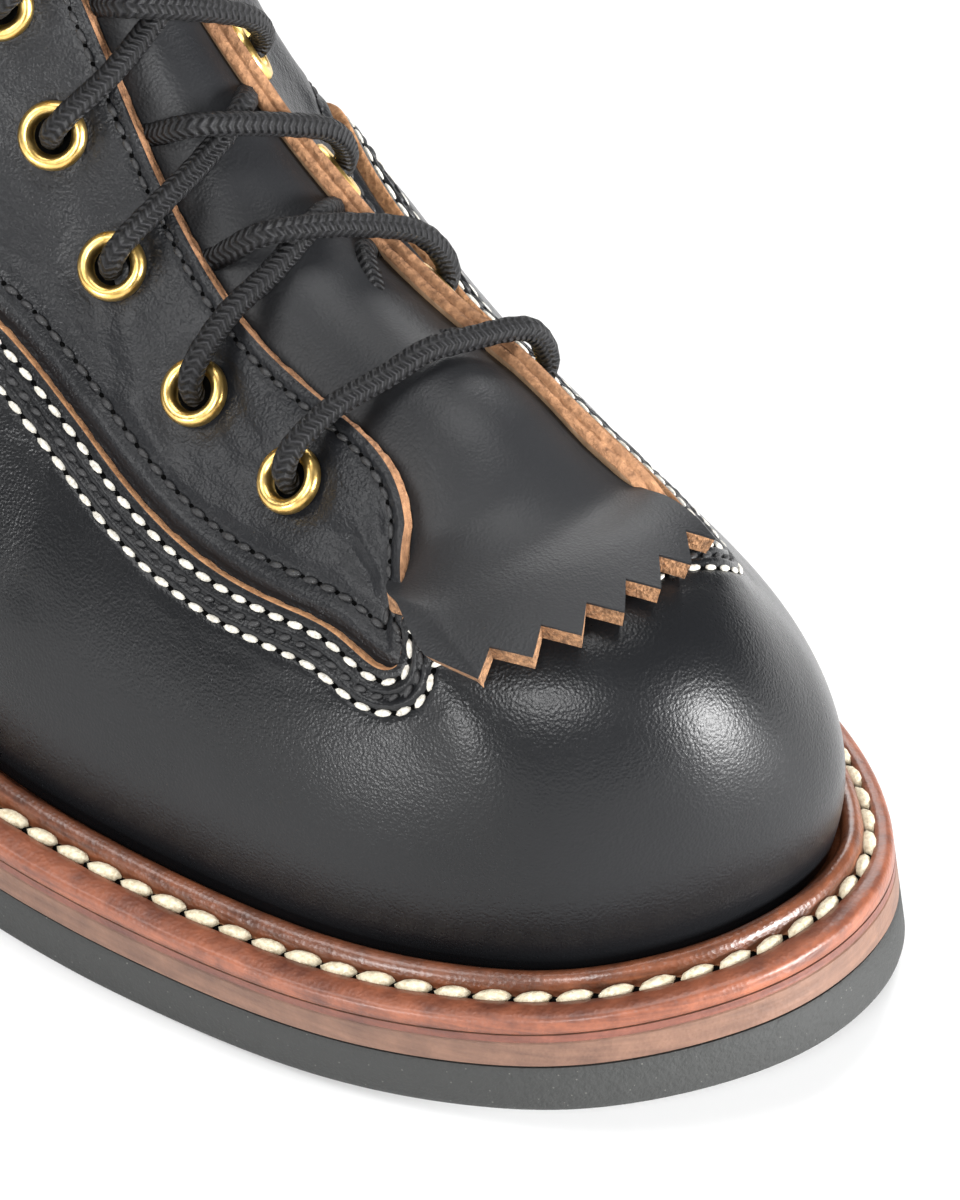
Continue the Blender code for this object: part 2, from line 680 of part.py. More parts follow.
def build_eyelet(name, centre, normal, material):
    """A rolled brass rim seated on the facing."""
    helper = np.array([0.0, 0.0, 1.0]) if abs(normal[2]) < 0.9 else np.array([0.0, 1.0, 0.0])
    right = np.cross(helper, normal)
    right /= np.linalg.norm(right)
    up = np.cross(normal, right)
    profile = [(EYELET_HOLE, GAP), (EYELET_HOLE, 0.8 * EYELET_HEIGHT),
               (0.5 * (EYELET_HOLE + EYELET_RADIUS), GAP + EYELET_HEIGHT), (EYELET_RADIUS, GAP)]
    turn = np.linspace(0.0, 2 * math.pi, EYELET_SIDES, endpoint=False)[:, None]
    seat = centre + normal * EYELET_SEAT
    rings = [seat + radius * (np.cos(turn) * right + np.sin(turn) * up) + height * normal
             for radius, height in profile]
    verts, faces = closed_rings(rings)
    return make_object(name, verts, faces, material)


def tube(name, points, material):
    """A round cord through the points, with closed ends."""
    points = np.asarray(points)
    tangents = np.gradient(points, axis=0)
    tangents /= np.linalg.norm(tangents, axis=1)[:, None]
    side = np.cross(tangents[0], (0.0, 0.0, 1.0))
    side /= np.linalg.norm(side)
    turn = np.linspace(0.0, 2 * math.pi, LACE_SIDES, endpoint=False)[:, None]
    rings = []
    for point, tangent in zip(points, tangents):
        side = side - tangent * np.dot(side, tangent)
        side /= np.linalg.norm(side)
        other = np.cross(tangent, side)
        rings.append(point + LACE_RADIUS * (np.cos(turn) * side + np.sin(turn) * other))
    verts = np.vstack(rings)
    faces = []
    for r in range(len(rings) - 1):
        for i in range(LACE_SIDES):
            j = (i + 1) % LACE_SIDES
            faces.append((r * LACE_SIDES + i, r * LACE_SIDES + j,
                          (r + 1) * LACE_SIDES + j, (r + 1) * LACE_SIDES + i))
    faces.append(tuple(range(LACE_SIDES)))
    faces.append(tuple(len(verts) - LACE_SIDES + i for i in range(LACE_SIDES)))
    return make_object(name, verts, faces, material)


def curve_through(points, count):
    """Even points on a smooth curve through a few places."""
    points = np.asarray(points, float)
    knots = np.concatenate([[0.0], np.cumsum(np.linalg.norm(np.diff(points, axis=0), axis=1))])
    slopes = np.gradient(points, knots, axis=0)
    out = []
    for t in np.linspace(0.0, knots[-1], count):
        i = min(int(np.searchsorted(knots, t, side="right")) - 1, len(points) - 2)
        h = knots[i + 1] - knots[i]
        s = (t - knots[i]) / h
        out.append((2 * s ** 3 - 3 * s * s + 1) * points[i] + (s ** 3 - 2 * s * s + s) * h * slopes[i]
                   + (3 * s * s - 2 * s ** 3) * points[i + 1] + (s ** 3 - s * s) * h * slopes[i + 1])
    return np.array(out)


def over_throat(u, w, lift):
    """A place over the throat between the facings, lift above the kiltie's line."""
    arc = throat_arc(u, 0.0, 0.0, 41)
    index = int(round(w * 40))
    point = arc[index]
    ahead = throat_arc(u + 0.1, 0.0, 0.0, 41)[index] - point
    across = arc[min(index + 1, 40)] - arc[max(index - 1, 0)]
    up = np.cross(across, ahead)
    up /= np.linalg.norm(up)
    up *= -1.0 if up[2] < 0 else 1.0
    return point + up * lift


def lace_leg(low, high, side, lift):
    """From the lower eyelet, over its facing's edge and down to the other facing."""
    eyelet = low[side]
    rim = eyelet.edge + (high[side].edge - eyelet.edge) * CROSSING_EDGE
    edge = wall_offset([rim], [1.0], LACE_RADIUS + 3 * GAP)[0]
    start = eyelet.centre + eyelet.normal * LACE_LIFT
    route = [start, 0.5 * (start + edge) + eyelet.normal * LACE_RADIUS * LACE_BOW, edge]
    for step, place in CROSSING_PLACES:
        u = low[0].edge + (high[0].edge - low[0].edge) * step
        route.append(over_throat(u, place if side == 0 else 1.0 - place, lift))
    return curve_through(route, LACE_POINTS)


def build_crossing(name, low, high, material):
    under = tube(name, lace_leg(low, high, 0, LACE_RADIUS + 2 * GAP), material)
    over = tube(name + "_over", lace_leg(low, high, 1, CROSSING_LIFT * LACE_RADIUS), material)
    over.hide_render = True
    over.display_type = "WIRE"
    join = under.modifiers.new("join", "BOOLEAN")
    join.operation = "UNION"
    join.object = over
    return under


def build_bar(name, pair, material):
    """The first bar, from eyelet to eyelet over both facings."""
    ends = [eyelet.centre + eyelet.normal * LACE_LIFT for eyelet in pair]
    edges = [wall_offset([eyelet.edge], [1.0], LACE_RADIUS + 5 * GAP)[0] for eyelet in pair]
    middle = [over_throat(pair[0].edge, place, 2 * LACE_RADIUS) for place in (0.3, 0.5, 0.7)]
    return tube(name, curve_through([ends[0], edges[0], *middle, edges[1], ends[1]], 14), material)


def main():
    for thing in list(bpy.data.objects):
        bpy.data.objects.remove(thing, do_unlink=True)
    black = make_material("black leather", (0.012, 0.013, 0.015), 0.38)
    brown = make_material("brown welt leather", (0.16, 0.05, 0.022), 0.45)
    stack = make_material("stacked leather", (0.20, 0.085, 0.045), 0.6)
    rubber = make_material("black rubber", (0.03, 0.03, 0.031), 0.8)
    tan = make_material("insole leather", (0.45, 0.28, 0.15), 0.7)
    brass = make_material("brass", (0.75, 0.52, 0.16), 0.25, 1.0)
    braid = make_material("black braid", (0.012, 0.012, 0.013), 0.8)
    build_outsole(rubber)
    build_midsole(stack)
    build_heel_piece("heel_stack", None, TOP_LIFT_THICKNESS + GAP, stack)
    build_heel_piece("heel_top_lift", TOP_LIFT_THICKNESS, 0.0, rubber)
    build_welt(brown)
    build_insole(tan)
    upper = build_upper(black)
    tongue = build_tongue(upper, black)
    build_kiltie([upper, tongue], black)
    places = eyelet_places()
    for number, pair in enumerate(places, start=1):
        for side, eyelet in zip(("outer", "inner"), pair):
            build_eyelet(f"eyelet_{side}_{number:02d}", eyelet.centre, eyelet.normal, brass)
    build_bar("lace_bar", places[0], braid)
    for number in range(1, EYELET_PAIRS - 1):
        build_crossing(f"lace_cross_{number + 1:02d}", places[number], places[number + 1], braid)


main()
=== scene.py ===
# %% [markdown]
# # Dressing a logger boot
# The solids of one right-foot logger boot come in already placed, in metres, toe towards -Y and the boot's
# outer side towards -X. This lesson gives them the look of the real thing: black leather with raw cut edges,
# a stitched welt, a leather and rubber sole, brass eyelets and a braided lace. The shape functions of the
# solids are repeated here, because each piece has to lie exactly where its solid does, only more finely cut.

# %% Load the solids
import json
import math
from collections import namedtuple

import bmesh
import bpy
import numpy as np
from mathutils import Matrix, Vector
from mathutils.bvhtree import BVHTree
from mathutils.kdtree import KDTree
from mathutils.noise import noise as wander

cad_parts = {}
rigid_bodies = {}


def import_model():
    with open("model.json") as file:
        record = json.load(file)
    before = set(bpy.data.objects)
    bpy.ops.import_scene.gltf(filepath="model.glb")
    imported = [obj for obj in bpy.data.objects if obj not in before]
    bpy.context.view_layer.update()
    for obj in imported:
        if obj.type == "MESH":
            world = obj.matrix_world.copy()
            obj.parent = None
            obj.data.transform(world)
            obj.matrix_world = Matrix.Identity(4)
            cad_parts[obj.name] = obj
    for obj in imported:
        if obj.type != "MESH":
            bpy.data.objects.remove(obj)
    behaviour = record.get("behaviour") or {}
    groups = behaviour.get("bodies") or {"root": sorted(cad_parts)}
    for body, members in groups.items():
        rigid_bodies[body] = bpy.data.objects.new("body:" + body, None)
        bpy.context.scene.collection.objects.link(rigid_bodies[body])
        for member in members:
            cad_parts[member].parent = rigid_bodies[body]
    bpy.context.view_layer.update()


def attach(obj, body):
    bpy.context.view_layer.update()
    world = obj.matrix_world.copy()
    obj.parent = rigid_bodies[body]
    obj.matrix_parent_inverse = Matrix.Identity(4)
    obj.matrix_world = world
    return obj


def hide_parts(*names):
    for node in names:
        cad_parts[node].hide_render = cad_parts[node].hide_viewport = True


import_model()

# %% [markdown]
# ## Camera, floor and light
# The photograph is a close view of the toe from above and in front, so a long lens a good way off keeps the
# lines nearly parallel. The floor is a plain white sheet. Six soft lights stand in for a studio tent. The
# strongest is low on the far side and draws the bright patch on the toe, one beside the camera lights the
# welt, and the rest are weak and fill in from above, from the near side and from behind.

# %% Camera
looks_at = Vector((0.0246, -0.0099, 0.0252))
CAMERA_DISTANCE, LONG_LENS = 1.4, 302.4


def towards(azimuth, elevation):
    """The direction from the boot to a camera or a lamp; both angles are in degrees."""
    a, e = math.radians(azimuth), math.radians(elevation)
    return Vector((math.sin(a) * math.cos(e), -math.cos(a) * math.cos(e), math.sin(e)))


camera_back = towards(-35.0, 40.0)
camera_data = bpy.data.cameras.new("close view")
camera_data.sensor_width = 36.0
camera_data.lens = LONG_LENS
camera = bpy.data.objects.new("close view", camera_data)
bpy.context.scene.collection.objects.link(camera)
camera.location = looks_at + camera_back * CAMERA_DISTANCE
camera.rotation_mode = "QUATERNION"
camera.rotation_quaternion = (-camera_back).to_track_quat("-Z", "Y")
camera_data.clip_start, camera_data.clip_end = 0.05, 20.0
bpy.context.scene.camera = camera
print("camera at", [round(value, 3) for value in camera.location])


# %% Soft lights
def softbox(name, place, width, height, power):
    """A large soft light that faces the boot."""
    data = bpy.data.lights.new(name, "AREA")
    data.shape = "RECTANGLE"
    data.size, data.size_y = width, height
    data.energy = power
    lamp = bpy.data.objects.new(name, data)
    bpy.context.scene.collection.objects.link(lamp)
    lamp.location = place
    lamp.rotation_euler = (place - looks_at).to_track_quat("Z", "Y").to_euler()
    return lamp


for name, azimuth, elevation, far, width, height, power in (
        ("overhead", 150.0, 78.0, 1.5, 0.9, 0.7, 13.0),
        ("far side", 31.0, 9.0, 1.3, 0.52, 0.42, 40.0),
        ("beside the camera", -42.0, 36.0, 1.75, 0.45, 0.45, 19.0),
        ("near side", -104.0, 45.0, 1.4, 0.7, 0.5, 9.0),
        ("low at the near side", -80.0, 2.0, 1.2, 0.20, 0.10, 6.0),
        ("behind", 140.0, 28.0, 1.5, 0.8, 0.4, 9.0)):
    softbox(name, looks_at + towards(azimuth, elevation) * far, width, height, power)
world = bpy.data.worlds.new("studio tent")
world.use_nodes = True
tent = world.node_tree.nodes["Background"]
tent.inputs["Color"].default_value = (1.0, 1.0, 1.0, 1.0)
tent.inputs["Strength"].default_value = 0.16
bpy.context.scene.world = world
bpy.context.scene.view_settings.view_transform = "Standard"
print("lights:", sum(thing.type == "LIGHT" for thing in bpy.data.objects))

# %% [markdown]
# ## Materials as expressions
# Every finish here is made of nodes. To keep the recipes readable, a small class wraps a node's output so
# that ordinary sums on it add Math nodes, and a second class holds the material and adds any other node
# through one method. A recipe then reads as a few lines: where the pattern sits, and what it drives.


# %% Sums on node outputs
class Wire:
    """One output in a material; sums on it add Math nodes."""

    def __init__(self, tree, socket):
        self.tree = tree
        self.socket = socket

    def maths(self, operation, *values):
        node = self.tree.nodes.new("ShaderNodeMath")
        node.operation = operation
        for socket, value in zip(node.inputs, values):
            if isinstance(value, Wire):
                self.tree.links.new(value.socket, socket)
            else:
                socket.default_value = value
        return Wire(self.tree, node.outputs[0])

    def __add__(self, other):
        return self.maths("ADD", self, other)

    def __mul__(self, other):
        return self.maths("MULTIPLY", self, other)

    def __sub__(self, other):
        return self.maths("SUBTRACT", self, other)


print("ready to add up node outputs")


# %% A material in the making
class Finish:
    """A material in the making."""

    def __init__(self, name, **fixed):
        self.material = bpy.data.materials.new(name)
        self.material.use_nodes = True
        self.tree = self.material.node_tree
        self.shader = self.tree.nodes["Principled BSDF"]
        for socket, value in fixed.items():
            self.shader.inputs[socket.replace("_", " ")].default_value = value
        self.where = self.node("ShaderNodeTexCoord", output="Object")

    def node(self, kind, settings=None, sockets=None, output=0):
        node = self.tree.nodes.new(kind)
        for name, value in (settings or {}).items():
            if name == "stops":
                ramp = node.color_ramp
                while len(ramp.elements) < len(value):
                    ramp.elements.new(1.0)
                for element, (position, colour) in zip(ramp.elements, value):
                    element.position = position
                    element.color = (*colour, 1.0)
            else:
                setattr(node, name, value)
        for name, value in (sockets or {}).items():
            if isinstance(value, Wire):
                self.tree.links.new(value.socket, node.inputs[name])
            else:
                node.inputs[name].default_value = value
        return Wire(self.tree, node.outputs[output])

    def noise(self, scale, detail=3.0, rough=0.5, where=None):
        return self.node("ShaderNodeTexNoise", None, {
            "Vector": where or self.where, "Scale": scale, "Detail": detail, "Roughness": rough})

    def pores(self, scale):
        return self.node("ShaderNodeTexVoronoi", None, {"Vector": self.where, "Scale": scale})

    def stretched(self, scale):
        return self.node("ShaderNodeMapping", None, {"Vector": self.where, "Scale": scale})

    def ramp(self, factor, *stops):
        return self.node("ShaderNodeValToRGB", {"stops": stops}, {"Fac": factor})

    def mask(self, name):
        return self.node("ShaderNodeAttribute", {"attribute_name": name}, output="Fac")

    def shade(self, colour, roughness, relief=None, depth=0.0002):
        self.tree.links.new(colour.socket, self.shader.inputs["Base Color"])
        self.tree.links.new(roughness.socket, self.shader.inputs["Roughness"])
        if relief is not None:
            bump = self.node("ShaderNodeBump", None, {"Strength": 1.0, "Distance": depth, "Height": relief})
            self.tree.links.new(bump.socket, self.shader.inputs["Normal"])
        return self.material


print("ready to mix finishes")

# %% [markdown]
# ## Leathers
# The upper is smooth black leather with a satin pull-up finish: fine pores, a faint cloudiness and small
# wrinkles where it flexes. Where it is cut, the undyed middle of the hide shows as a tan, fibrous edge. The
# welt is a red-brown strap leather, glossier on its bead, and the midsole shows its layers on its side.


# %% Black leathers
def black_leather(name, roughness, dark, light, grain, wrinkle):
    """Smooth black leather; the points' flex value says where it wrinkles."""
    finish = Finish(name, Specular_IOR_Level=0.27)
    cloud = finish.noise(28.0, 3.0)
    skin = finish.pores(2100.0) * 0.55 + finish.noise(3200.0, 2.0) * 0.45
    creased = finish.noise(1.0, 4.0, 0.62, finish.stretched((900.0, 420.0, 900.0)))
    relief = skin * grain + creased * (finish.mask("flex") * wrinkle) + finish.noise(160.0, 3.0) * 0.5
    colour = finish.ramp(cloud, (0.3, dark), (0.75, light))
    return finish.shade(colour, cloud * 0.16 + skin * 0.10 + (roughness - 0.13), relief, 0.00016)


vamp_leather = black_leather("vamp leather", 0.30, (0.0042, 0.0046, 0.0054), (0.008, 0.0084, 0.0095),
                             0.45, 0.9)
facing_leather = black_leather("facing leather", 0.34, (0.006, 0.0065, 0.0078), (0.012, 0.0125, 0.014),
                               0.5, 1.2)
kiltie_leather = black_leather("kiltie leather", 0.44, (0.011, 0.0115, 0.013), (0.019, 0.0195, 0.021),
                               0.35, 0.6)
print("black leathers:", vamp_leather.name, facing_leather.name, kiltie_leather.name)


# %% Raw edges, lining and strap leathers
def fibrous_leather(name, dark, light, depth, roughness=0.86, fibre=900.0):
    """The cut edge or the flesh side of a hide."""
    finish = Finish(name)
    fibres = finish.noise(fibre, 4.0, 0.68)
    pits = finish.pores(fibre * 1.3)
    colour = finish.ramp(fibres * 0.75 + finish.noise(90.0) * 0.25, (0.34, dark), (0.66, light))
    return finish.shade(colour, fibres * 0.1 + roughness, fibres + pits * 0.6, depth)


def strap_leather(name, dark, light, roughness, coat):
    """Dyed and waxed leather with streaks along its length."""
    finish = Finish(name, Coat_Weight=coat, Coat_Roughness=0.25)
    streaks = finish.noise(1.0, 4.0, 0.6, finish.stretched((60.0, 60.0, 900.0)))
    mottle = finish.noise(260.0, 4.0, 0.6)
    colour = finish.ramp(streaks * 0.5 + mottle * 0.5, (0.36, dark), (0.66, light))
    relief = streaks * 0.6 + mottle * 0.4 + finish.pores(1500.0) * 0.3
    return finish.shade(colour, mottle * 0.2 + roughness, relief, 0.00022)


pinked_edge = fibrous_leather("pinked edge", (0.075, 0.034, 0.014), (0.44, 0.23, 0.11), 0.0006, fibre=1300.0)
raw_edge = fibrous_leather("raw edge", (0.24, 0.105, 0.042), (0.50, 0.265, 0.125), 0.00035)
facing_edge = fibrous_leather("facing edge", (0.15, 0.068, 0.030), (0.40, 0.205, 0.10), 0.0005, fibre=700.0)
lining = fibrous_leather("lining", (0.20, 0.12, 0.065), (0.30, 0.19, 0.11), 0.00012, 0.6)
insole_leather = fibrous_leather("insole leather", (0.34, 0.21, 0.11), (0.44, 0.29, 0.16), 0.0001, 0.55)
bead_leather = strap_leather("bead leather", (0.060, 0.019, 0.009), (0.20, 0.062, 0.025), 0.26, 0.3)
lip_leather = strap_leather("lip leather", (0.10, 0.028, 0.014), (0.31, 0.095, 0.043), 0.36, 0.2)
groove_leather = fibrous_leather("groove leather", (0.075, 0.026, 0.011), (0.30, 0.13, 0.055), 0.0004, 0.75)
upper_layer = strap_leather("midsole upper layer", (0.085, 0.026, 0.017), (0.20, 0.064, 0.038), 0.42, 0.1)
lower_layer = strap_leather("midsole lower layer", (0.105, 0.052, 0.034), (0.20, 0.105, 0.068), 0.5, 0.05)
print("strap leathers:", bead_leather.name, lip_leather.name, upper_layer.name, lower_layer.name)


# %% Rubber and heel
def speckled_rubber(name):
    """Matt black rubber with pale mineral specks."""
    finish = Finish(name)
    specks = finish.pores(700.0)
    bright = specks.maths("LESS_THAN", specks, 0.09)
    body = finish.noise(420.0, 3.0)
    colour = finish.ramp(bright * 0.75 + body * 0.2, (0.0, (0.021, 0.022, 0.021)),
                         (0.22, (0.033, 0.034, 0.033)), (1.0, (0.11, 0.11, 0.10)))
    return finish.shade(colour, body * 0.12 + 0.68, body + finish.noise(1500.0), 0.00025)


def stacked_leather(name, lift):
    """Lifts of leather, one on another, each edge a little different."""
    finish = Finish(name, Coat_Weight=0.15, Coat_Roughness=0.3)
    height = finish.node("ShaderNodeSeparateXYZ", None, {"Vector": finish.where}, "Z")
    layer = height * (1.0 / lift)
    number = layer.maths("FLOOR", layer)
    tone = number.maths("FRACT", number * 0.618)
    seam = (layer - number).maths("LESS_THAN", layer - number, 0.07)
    streaks = finish.noise(1.0, 4.0, 0.6, finish.stretched((70.0, 70.0, 1100.0)))
    colour = finish.ramp(tone * 0.45 + streaks * 0.5 - seam * 0.5, (0.05, (0.03, 0.012, 0.007)),
                         (0.3, (0.13, 0.045, 0.024)), (0.8, (0.24, 0.10, 0.055)))
    return finish.shade(colour, streaks * 0.2 + 0.36, streaks * 0.5 - seam * 2.0, 0.0002)


print("ready for rubber and stacked leather")


# %% Thread and brass
def thread(name, dark, light):
    """Waxed thread."""
    finish = Finish(name, Coat_Weight=0.1)
    twist = finish.noise(1500.0, 3.0, 0.6)
    return finish.shade(finish.ramp(twist, (0.3, dark), (0.65, light)), twist * 0.2 + 0.5, twist, 0.0002)


def polished_brass(name):
    """Rolled and polished brass with faint handling marks."""
    finish = Finish(name, Metallic=1.0)
    marks = finish.noise(700.0, 4.0, 0.6)
    colour = finish.ramp(marks, (0.3, (0.70, 0.44, 0.12)), (0.7, (0.86, 0.60, 0.22)))
    return finish.shade(colour, marks * 0.16 + 0.24, marks, 0.00006)


LIFT_THICKNESS = 0.0052
outsole_rubber = speckled_rubber("outsole rubber")
heel_leather = stacked_leather("heel leather", LIFT_THICKNESS)
white_thread = thread("white thread", (0.36, 0.34, 0.29), (0.72, 0.69, 0.62))
cream_thread = thread("cream thread", (0.50, 0.41, 0.26), (0.83, 0.75, 0.57))
black_thread = thread("black thread", (0.005, 0.005, 0.006), (0.022, 0.022, 0.023))
brass = polished_brass("brass")
print("other finishes:", outsole_rubber.name, heel_leather.name, brass.name, white_thread.name)


# %% Braided lace with a painted sheen, and the painted shade of the holes
def braided_cord(name, strands, pitch):
    """Strands that cross in chevrons, with a painted sheen on their crests; the map runs once round and in
    metres along the cord.
    """
    finish = Finish(name, Specular_IOR_Level=0.3)
    cord_map = finish.node("ShaderNodeUVMap", {"uv_map": "cord"})
    across, along = [finish.node("ShaderNodeSeparateXYZ", None, {"Vector": cord_map}, axis) for axis in "XY"]
    column = across * strands
    zigzag = column.maths("PINGPONG", column, 1.0)
    phase = along * (2.0 * math.pi / pitch) + zigzag * (1.2 * math.pi)
    ridge = phase.maths("SINE", phase) * 0.5 + 0.5
    fold = zigzag.maths("ABSOLUTE", zigzag - 0.5)
    fuzz = finish.noise(4200.0, 2.0)
    # painted sheen and shade: the colour is lighter on the strands' crests and darker between them, following
    # the ridge that also drives the bump
    colour = finish.ramp(ridge * 0.8 + fuzz * 0.3, (0.1, (0.002, 0.002, 0.0024)),
                         (0.75, (0.008, 0.008, 0.009)), (1.0, (0.020, 0.020, 0.022)))
    return finish.shade(colour, fuzz * 0.2 + 0.5, ridge + fuzz * 0.3 - fold * 0.7, 0.0004)


def hole_shadow(name):
    """Painted shade: a near-black colour for the unlit inside of a hole."""
    finish = Finish(name, Specular_IOR_Level=0.0)
    # painted shade, mottled a little at random so it is not flat
    shade_mottle = finish.noise(900.0)
    return finish.shade(finish.ramp(shade_mottle, (0.3, (0.001, 0.001, 0.001)), (0.7, (0.004, 0.004, 0.004))),
                        shade_mottle * 0.1 + 0.9)


braid = braided_cord("black braid", 8.0, 0.00115)
hole = hole_shadow("hole")
print("cord and holes:", braid.name, hole.name)

# %% [markdown]
# ## The last and the wall
# A boot is built round a last, so its shape is told section by section round the sole: how far out the sole's
# edge is, where the upper's top edge runs, and how each rib of leather climbs between them. A closed smooth
# curve goes through the sections, and any point on the wall then has two numbers, one round the boot and one
# up the wall. All the leather below is laid out with these two numbers, as a pattern is laid on a last.

# %% Sizes
SOLE_LENGTH, BALL_WIDTH, SHAFT_HEIGHT, SHAFT_WIDTH, TOE_HEIGHT = 0.305, 0.115, 0.252, 0.086, 0.044
OUTSOLE_THICKNESS, MIDSOLE_THICKNESS, WELT_THICKNESS = 0.008, 0.0058, 0.0024
TOE_SPRING, HEEL_HEIGHT, TOP_LIFT_THICKNESS, HEEL_UNDERCUT = 0.009, 0.044, 0.009, 0.004
TREAD_FRONT, TOE_TURN, TREAD_BALL, TREAD_BACK, SEAT_FRONT, BREAST = 0.754, 0.45, 0.689, 0.615, 0.245, 0.268
TOE_MARGIN, INNER_MARGIN, HEEL_MARGIN, WELT_TUCK = 0.0108, 0.0080, 0.0045, 0.005
BEAD_WIDTH, BEAD_HEIGHT, BEAD_OFFSET = 0.0032, 0.0026, 0.0012
WALL, OVERLAY, GAP = 0.0030, 0.0018, 0.0003
THROAT_CROWN, KILTIE_THICKNESS, KILTIE_SINK, TONGUE_THICKNESS = 0.16, 0.0027, 0.0012, 0.0020
EYELET_RADIUS, EYELET_HOLE, EYELET_HEIGHT, EYELET_SEAT = 0.0048, 0.0026, 0.0013, 0.0005
EYELET_PITCH, EYELET_INSET, EYELET_START, EYELET_PAIRS, LACE_RADIUS = 0.0186, 0.0108, 0.0035, 11, 0.0017
EDGE_REACH, FAN_START, FAN_RUN, KILTIE_TOP, THROAT_FOOT, TONGUE_TOP = 0.9, 3.2, 1.8, 7.6, 11.25, 5.75
SOLE_STACK = OUTSOLE_THICKNESS + MIDSOLE_THICKNESS + WELT_THICKNESS

print("sole in mm:", round(1000 * SOLE_LENGTH), "by", round(1000 * BALL_WIDTH))

# %% Sections of the sole, the top edge and the ribs
Section = namedtuple("Section", "name along outer inner")
OUTLINE = [Section(*row) for row in (
    ("heel back", 0.000, -0.004, -0.004), ("heel round", 0.026, 0.200, 0.190),
    ("heel side", 0.108, 0.335, 0.322), ("heel front", 0.213, 0.345, 0.312),
    ("shank back", 0.305, 0.344, 0.275), ("shank", 0.397, 0.372, 0.268),
    ("waist", 0.492, 0.430, 0.330), ("outer ball", 0.600, 0.480, 0.440),
    ("inner ball", 0.698, 0.466, 0.510), ("toe base", 0.793, 0.394, 0.508),
    ("toe side", 0.875, 0.310, 0.475), ("toe round", 0.938, 0.205, 0.405),
    ("toe corner", 0.980, 0.075, 0.300), ("toe tip", 1.000, -0.122, 0.122),
)]
TopEdge = namedtuple("TopEdge", "name along centre outer inner height cover")
TOP_EDGE = [TopEdge(*row) for row in (
    ("collar back", 0.059, -0.010, 0.000, 0.000, 1.000, 0.300),
    ("collar back corner", 0.088, -0.010, 0.300, 0.300, 1.000, 0.290),
    ("collar side", 0.161, -0.015, 0.470, 0.470, 1.000, 0.235),
    ("collar", 0.252, -0.020, 0.505, 0.505, 0.998, 0.120),
    ("collar front", 0.334, -0.025, 0.400, 0.400, 0.995, 0.030),
    ("facing top", 0.397, -0.025, 0.205, 0.205, 0.975, 0.050),
    ("facing shin", 0.430, -0.020, 0.115, 0.115, 0.805, 0.230),
    ("facing bend", 0.488, -0.005, 0.090, 0.090, 0.583, 0.480),
    ("facing ankle", 0.574, 0.019, 0.106, 0.106, 0.430, 0.600),
    ("facing instep", 0.679, 0.048, 0.158, 0.158, 0.334, 0.590),
    ("facing vamp", 0.770, 0.074, 0.167, 0.160, 0.316, 0.610),
    ("facing end", 0.818, 0.084, 0.208, 0.175, 0.2960, 0.680),
    ("throat corner", 0.853, 0.092, 0.245, 0.200, 0.2640, 0.830),
    ("throat end", 0.870, 0.090, 0.000, 0.000, 0.2655, 0.880),
)]
Rib = namedtuple("Rib", "name bulge rise out drop inner_bulge inner_out inner_drop")
RIBS = [Rib(*row) for row in (
    ("heel back", 0.12, 1.00, -0.32, 1.90, 0.12, -0.32, 1.90),
    ("heel round", 0.12, 0.98, -0.24, 1.90, 0.12, -0.24, 1.90),
    ("heel side", 0.12, 1.00, -0.24, 1.80, 0.12, -0.24, 1.80),
    ("heel front", 0.14, 1.00, -0.14, 1.75, 0.14, -0.16, 1.75),
    ("shank back", 0.14, 0.95, 0.00, 1.75, 0.14, 0.00, 1.80),
    ("shank", 0.14, 1.00, 0.30, 2.10, 0.14, 0.28, 2.10),
    ("waist", 0.12, 0.90, 0.44, 1.40, 0.14, 0.40, 1.50),
    ("outer ball", 0.12, 0.76, 0.50, 0.95, 0.15, 0.42, 1.10),
    ("inner ball", 0.11, 0.70, 0.46, 0.55, 0.15, 0.28, 0.84),
    ("toe base", 0.11, 0.68, 0.40, 0.34, 0.17, 0.20, 0.60),
    ("toe side", 0.11, 0.68, 0.40, 0.30, 0.19, 0.14, 0.52),
    ("toe round", 0.11, 0.69, 0.32, 0.24, 0.19, 0.14, 0.42),
    ("toe corner", 0.10, 0.70, 0.26, 0.02, 0.17, 0.18, 0.20),
    ("toe tip", 0.08, 0.72, 0.43, -0.11, 0.08, 0.43, -0.11),
)]
SECTIONS = len(OUTLINE) - 1
RING = 2 * SECTIONS
print("sections round the boot:", RING)


# %% Curves through the sections
def ring_spline(outer, inner):
    """The closed smooth curve through a table's outer and inner rows."""
    values = np.array(list(outer) + list(inner[-2:0:-1]), float)
    count = len(values)
    matrix = 4.0 * np.eye(count) + np.roll(np.eye(count), 1, axis=0) + np.roll(np.eye(count), -1, axis=0)
    steps = np.roll(values, -1, axis=0) - 2.0 * values + np.roll(values, 1, axis=0)
    return values, np.linalg.solve(matrix, 6.0 * steps)


def on_ring(spline, u):
    values, bends = spline
    count = len(values)
    u = np.mod(np.atleast_1d(np.asarray(u, float)), count)
    left = np.floor(u).astype(int) % count
    right = (left + 1) % count
    b = (u - np.floor(u))[:, None]
    a = 1.0 - b
    return (a * values[left] + b * values[right]
            + ((a ** 3 - a) * bends[left] + (b ** 3 - b) * bends[right]) / 6.0)


def y_at(along):
    return (TREAD_BALL - along) * SOLE_LENGTH


def along_of(y):
    return TREAD_BALL - y / SOLE_LENGTH


def smooth(x):
    x = np.clip(x, 0.0, 1.0)
    return x * x * (3.0 - 2.0 * x)


def unit(vectors):
    return vectors / np.linalg.norm(vectors, axis=-1, keepdims=True)


def run_along(path):
    """The distance along a line of points, from its first point to each."""
    return np.concatenate([[0.0], np.cumsum(np.linalg.norm(np.diff(path, axis=0), axis=1))])


print("spline helpers ready")

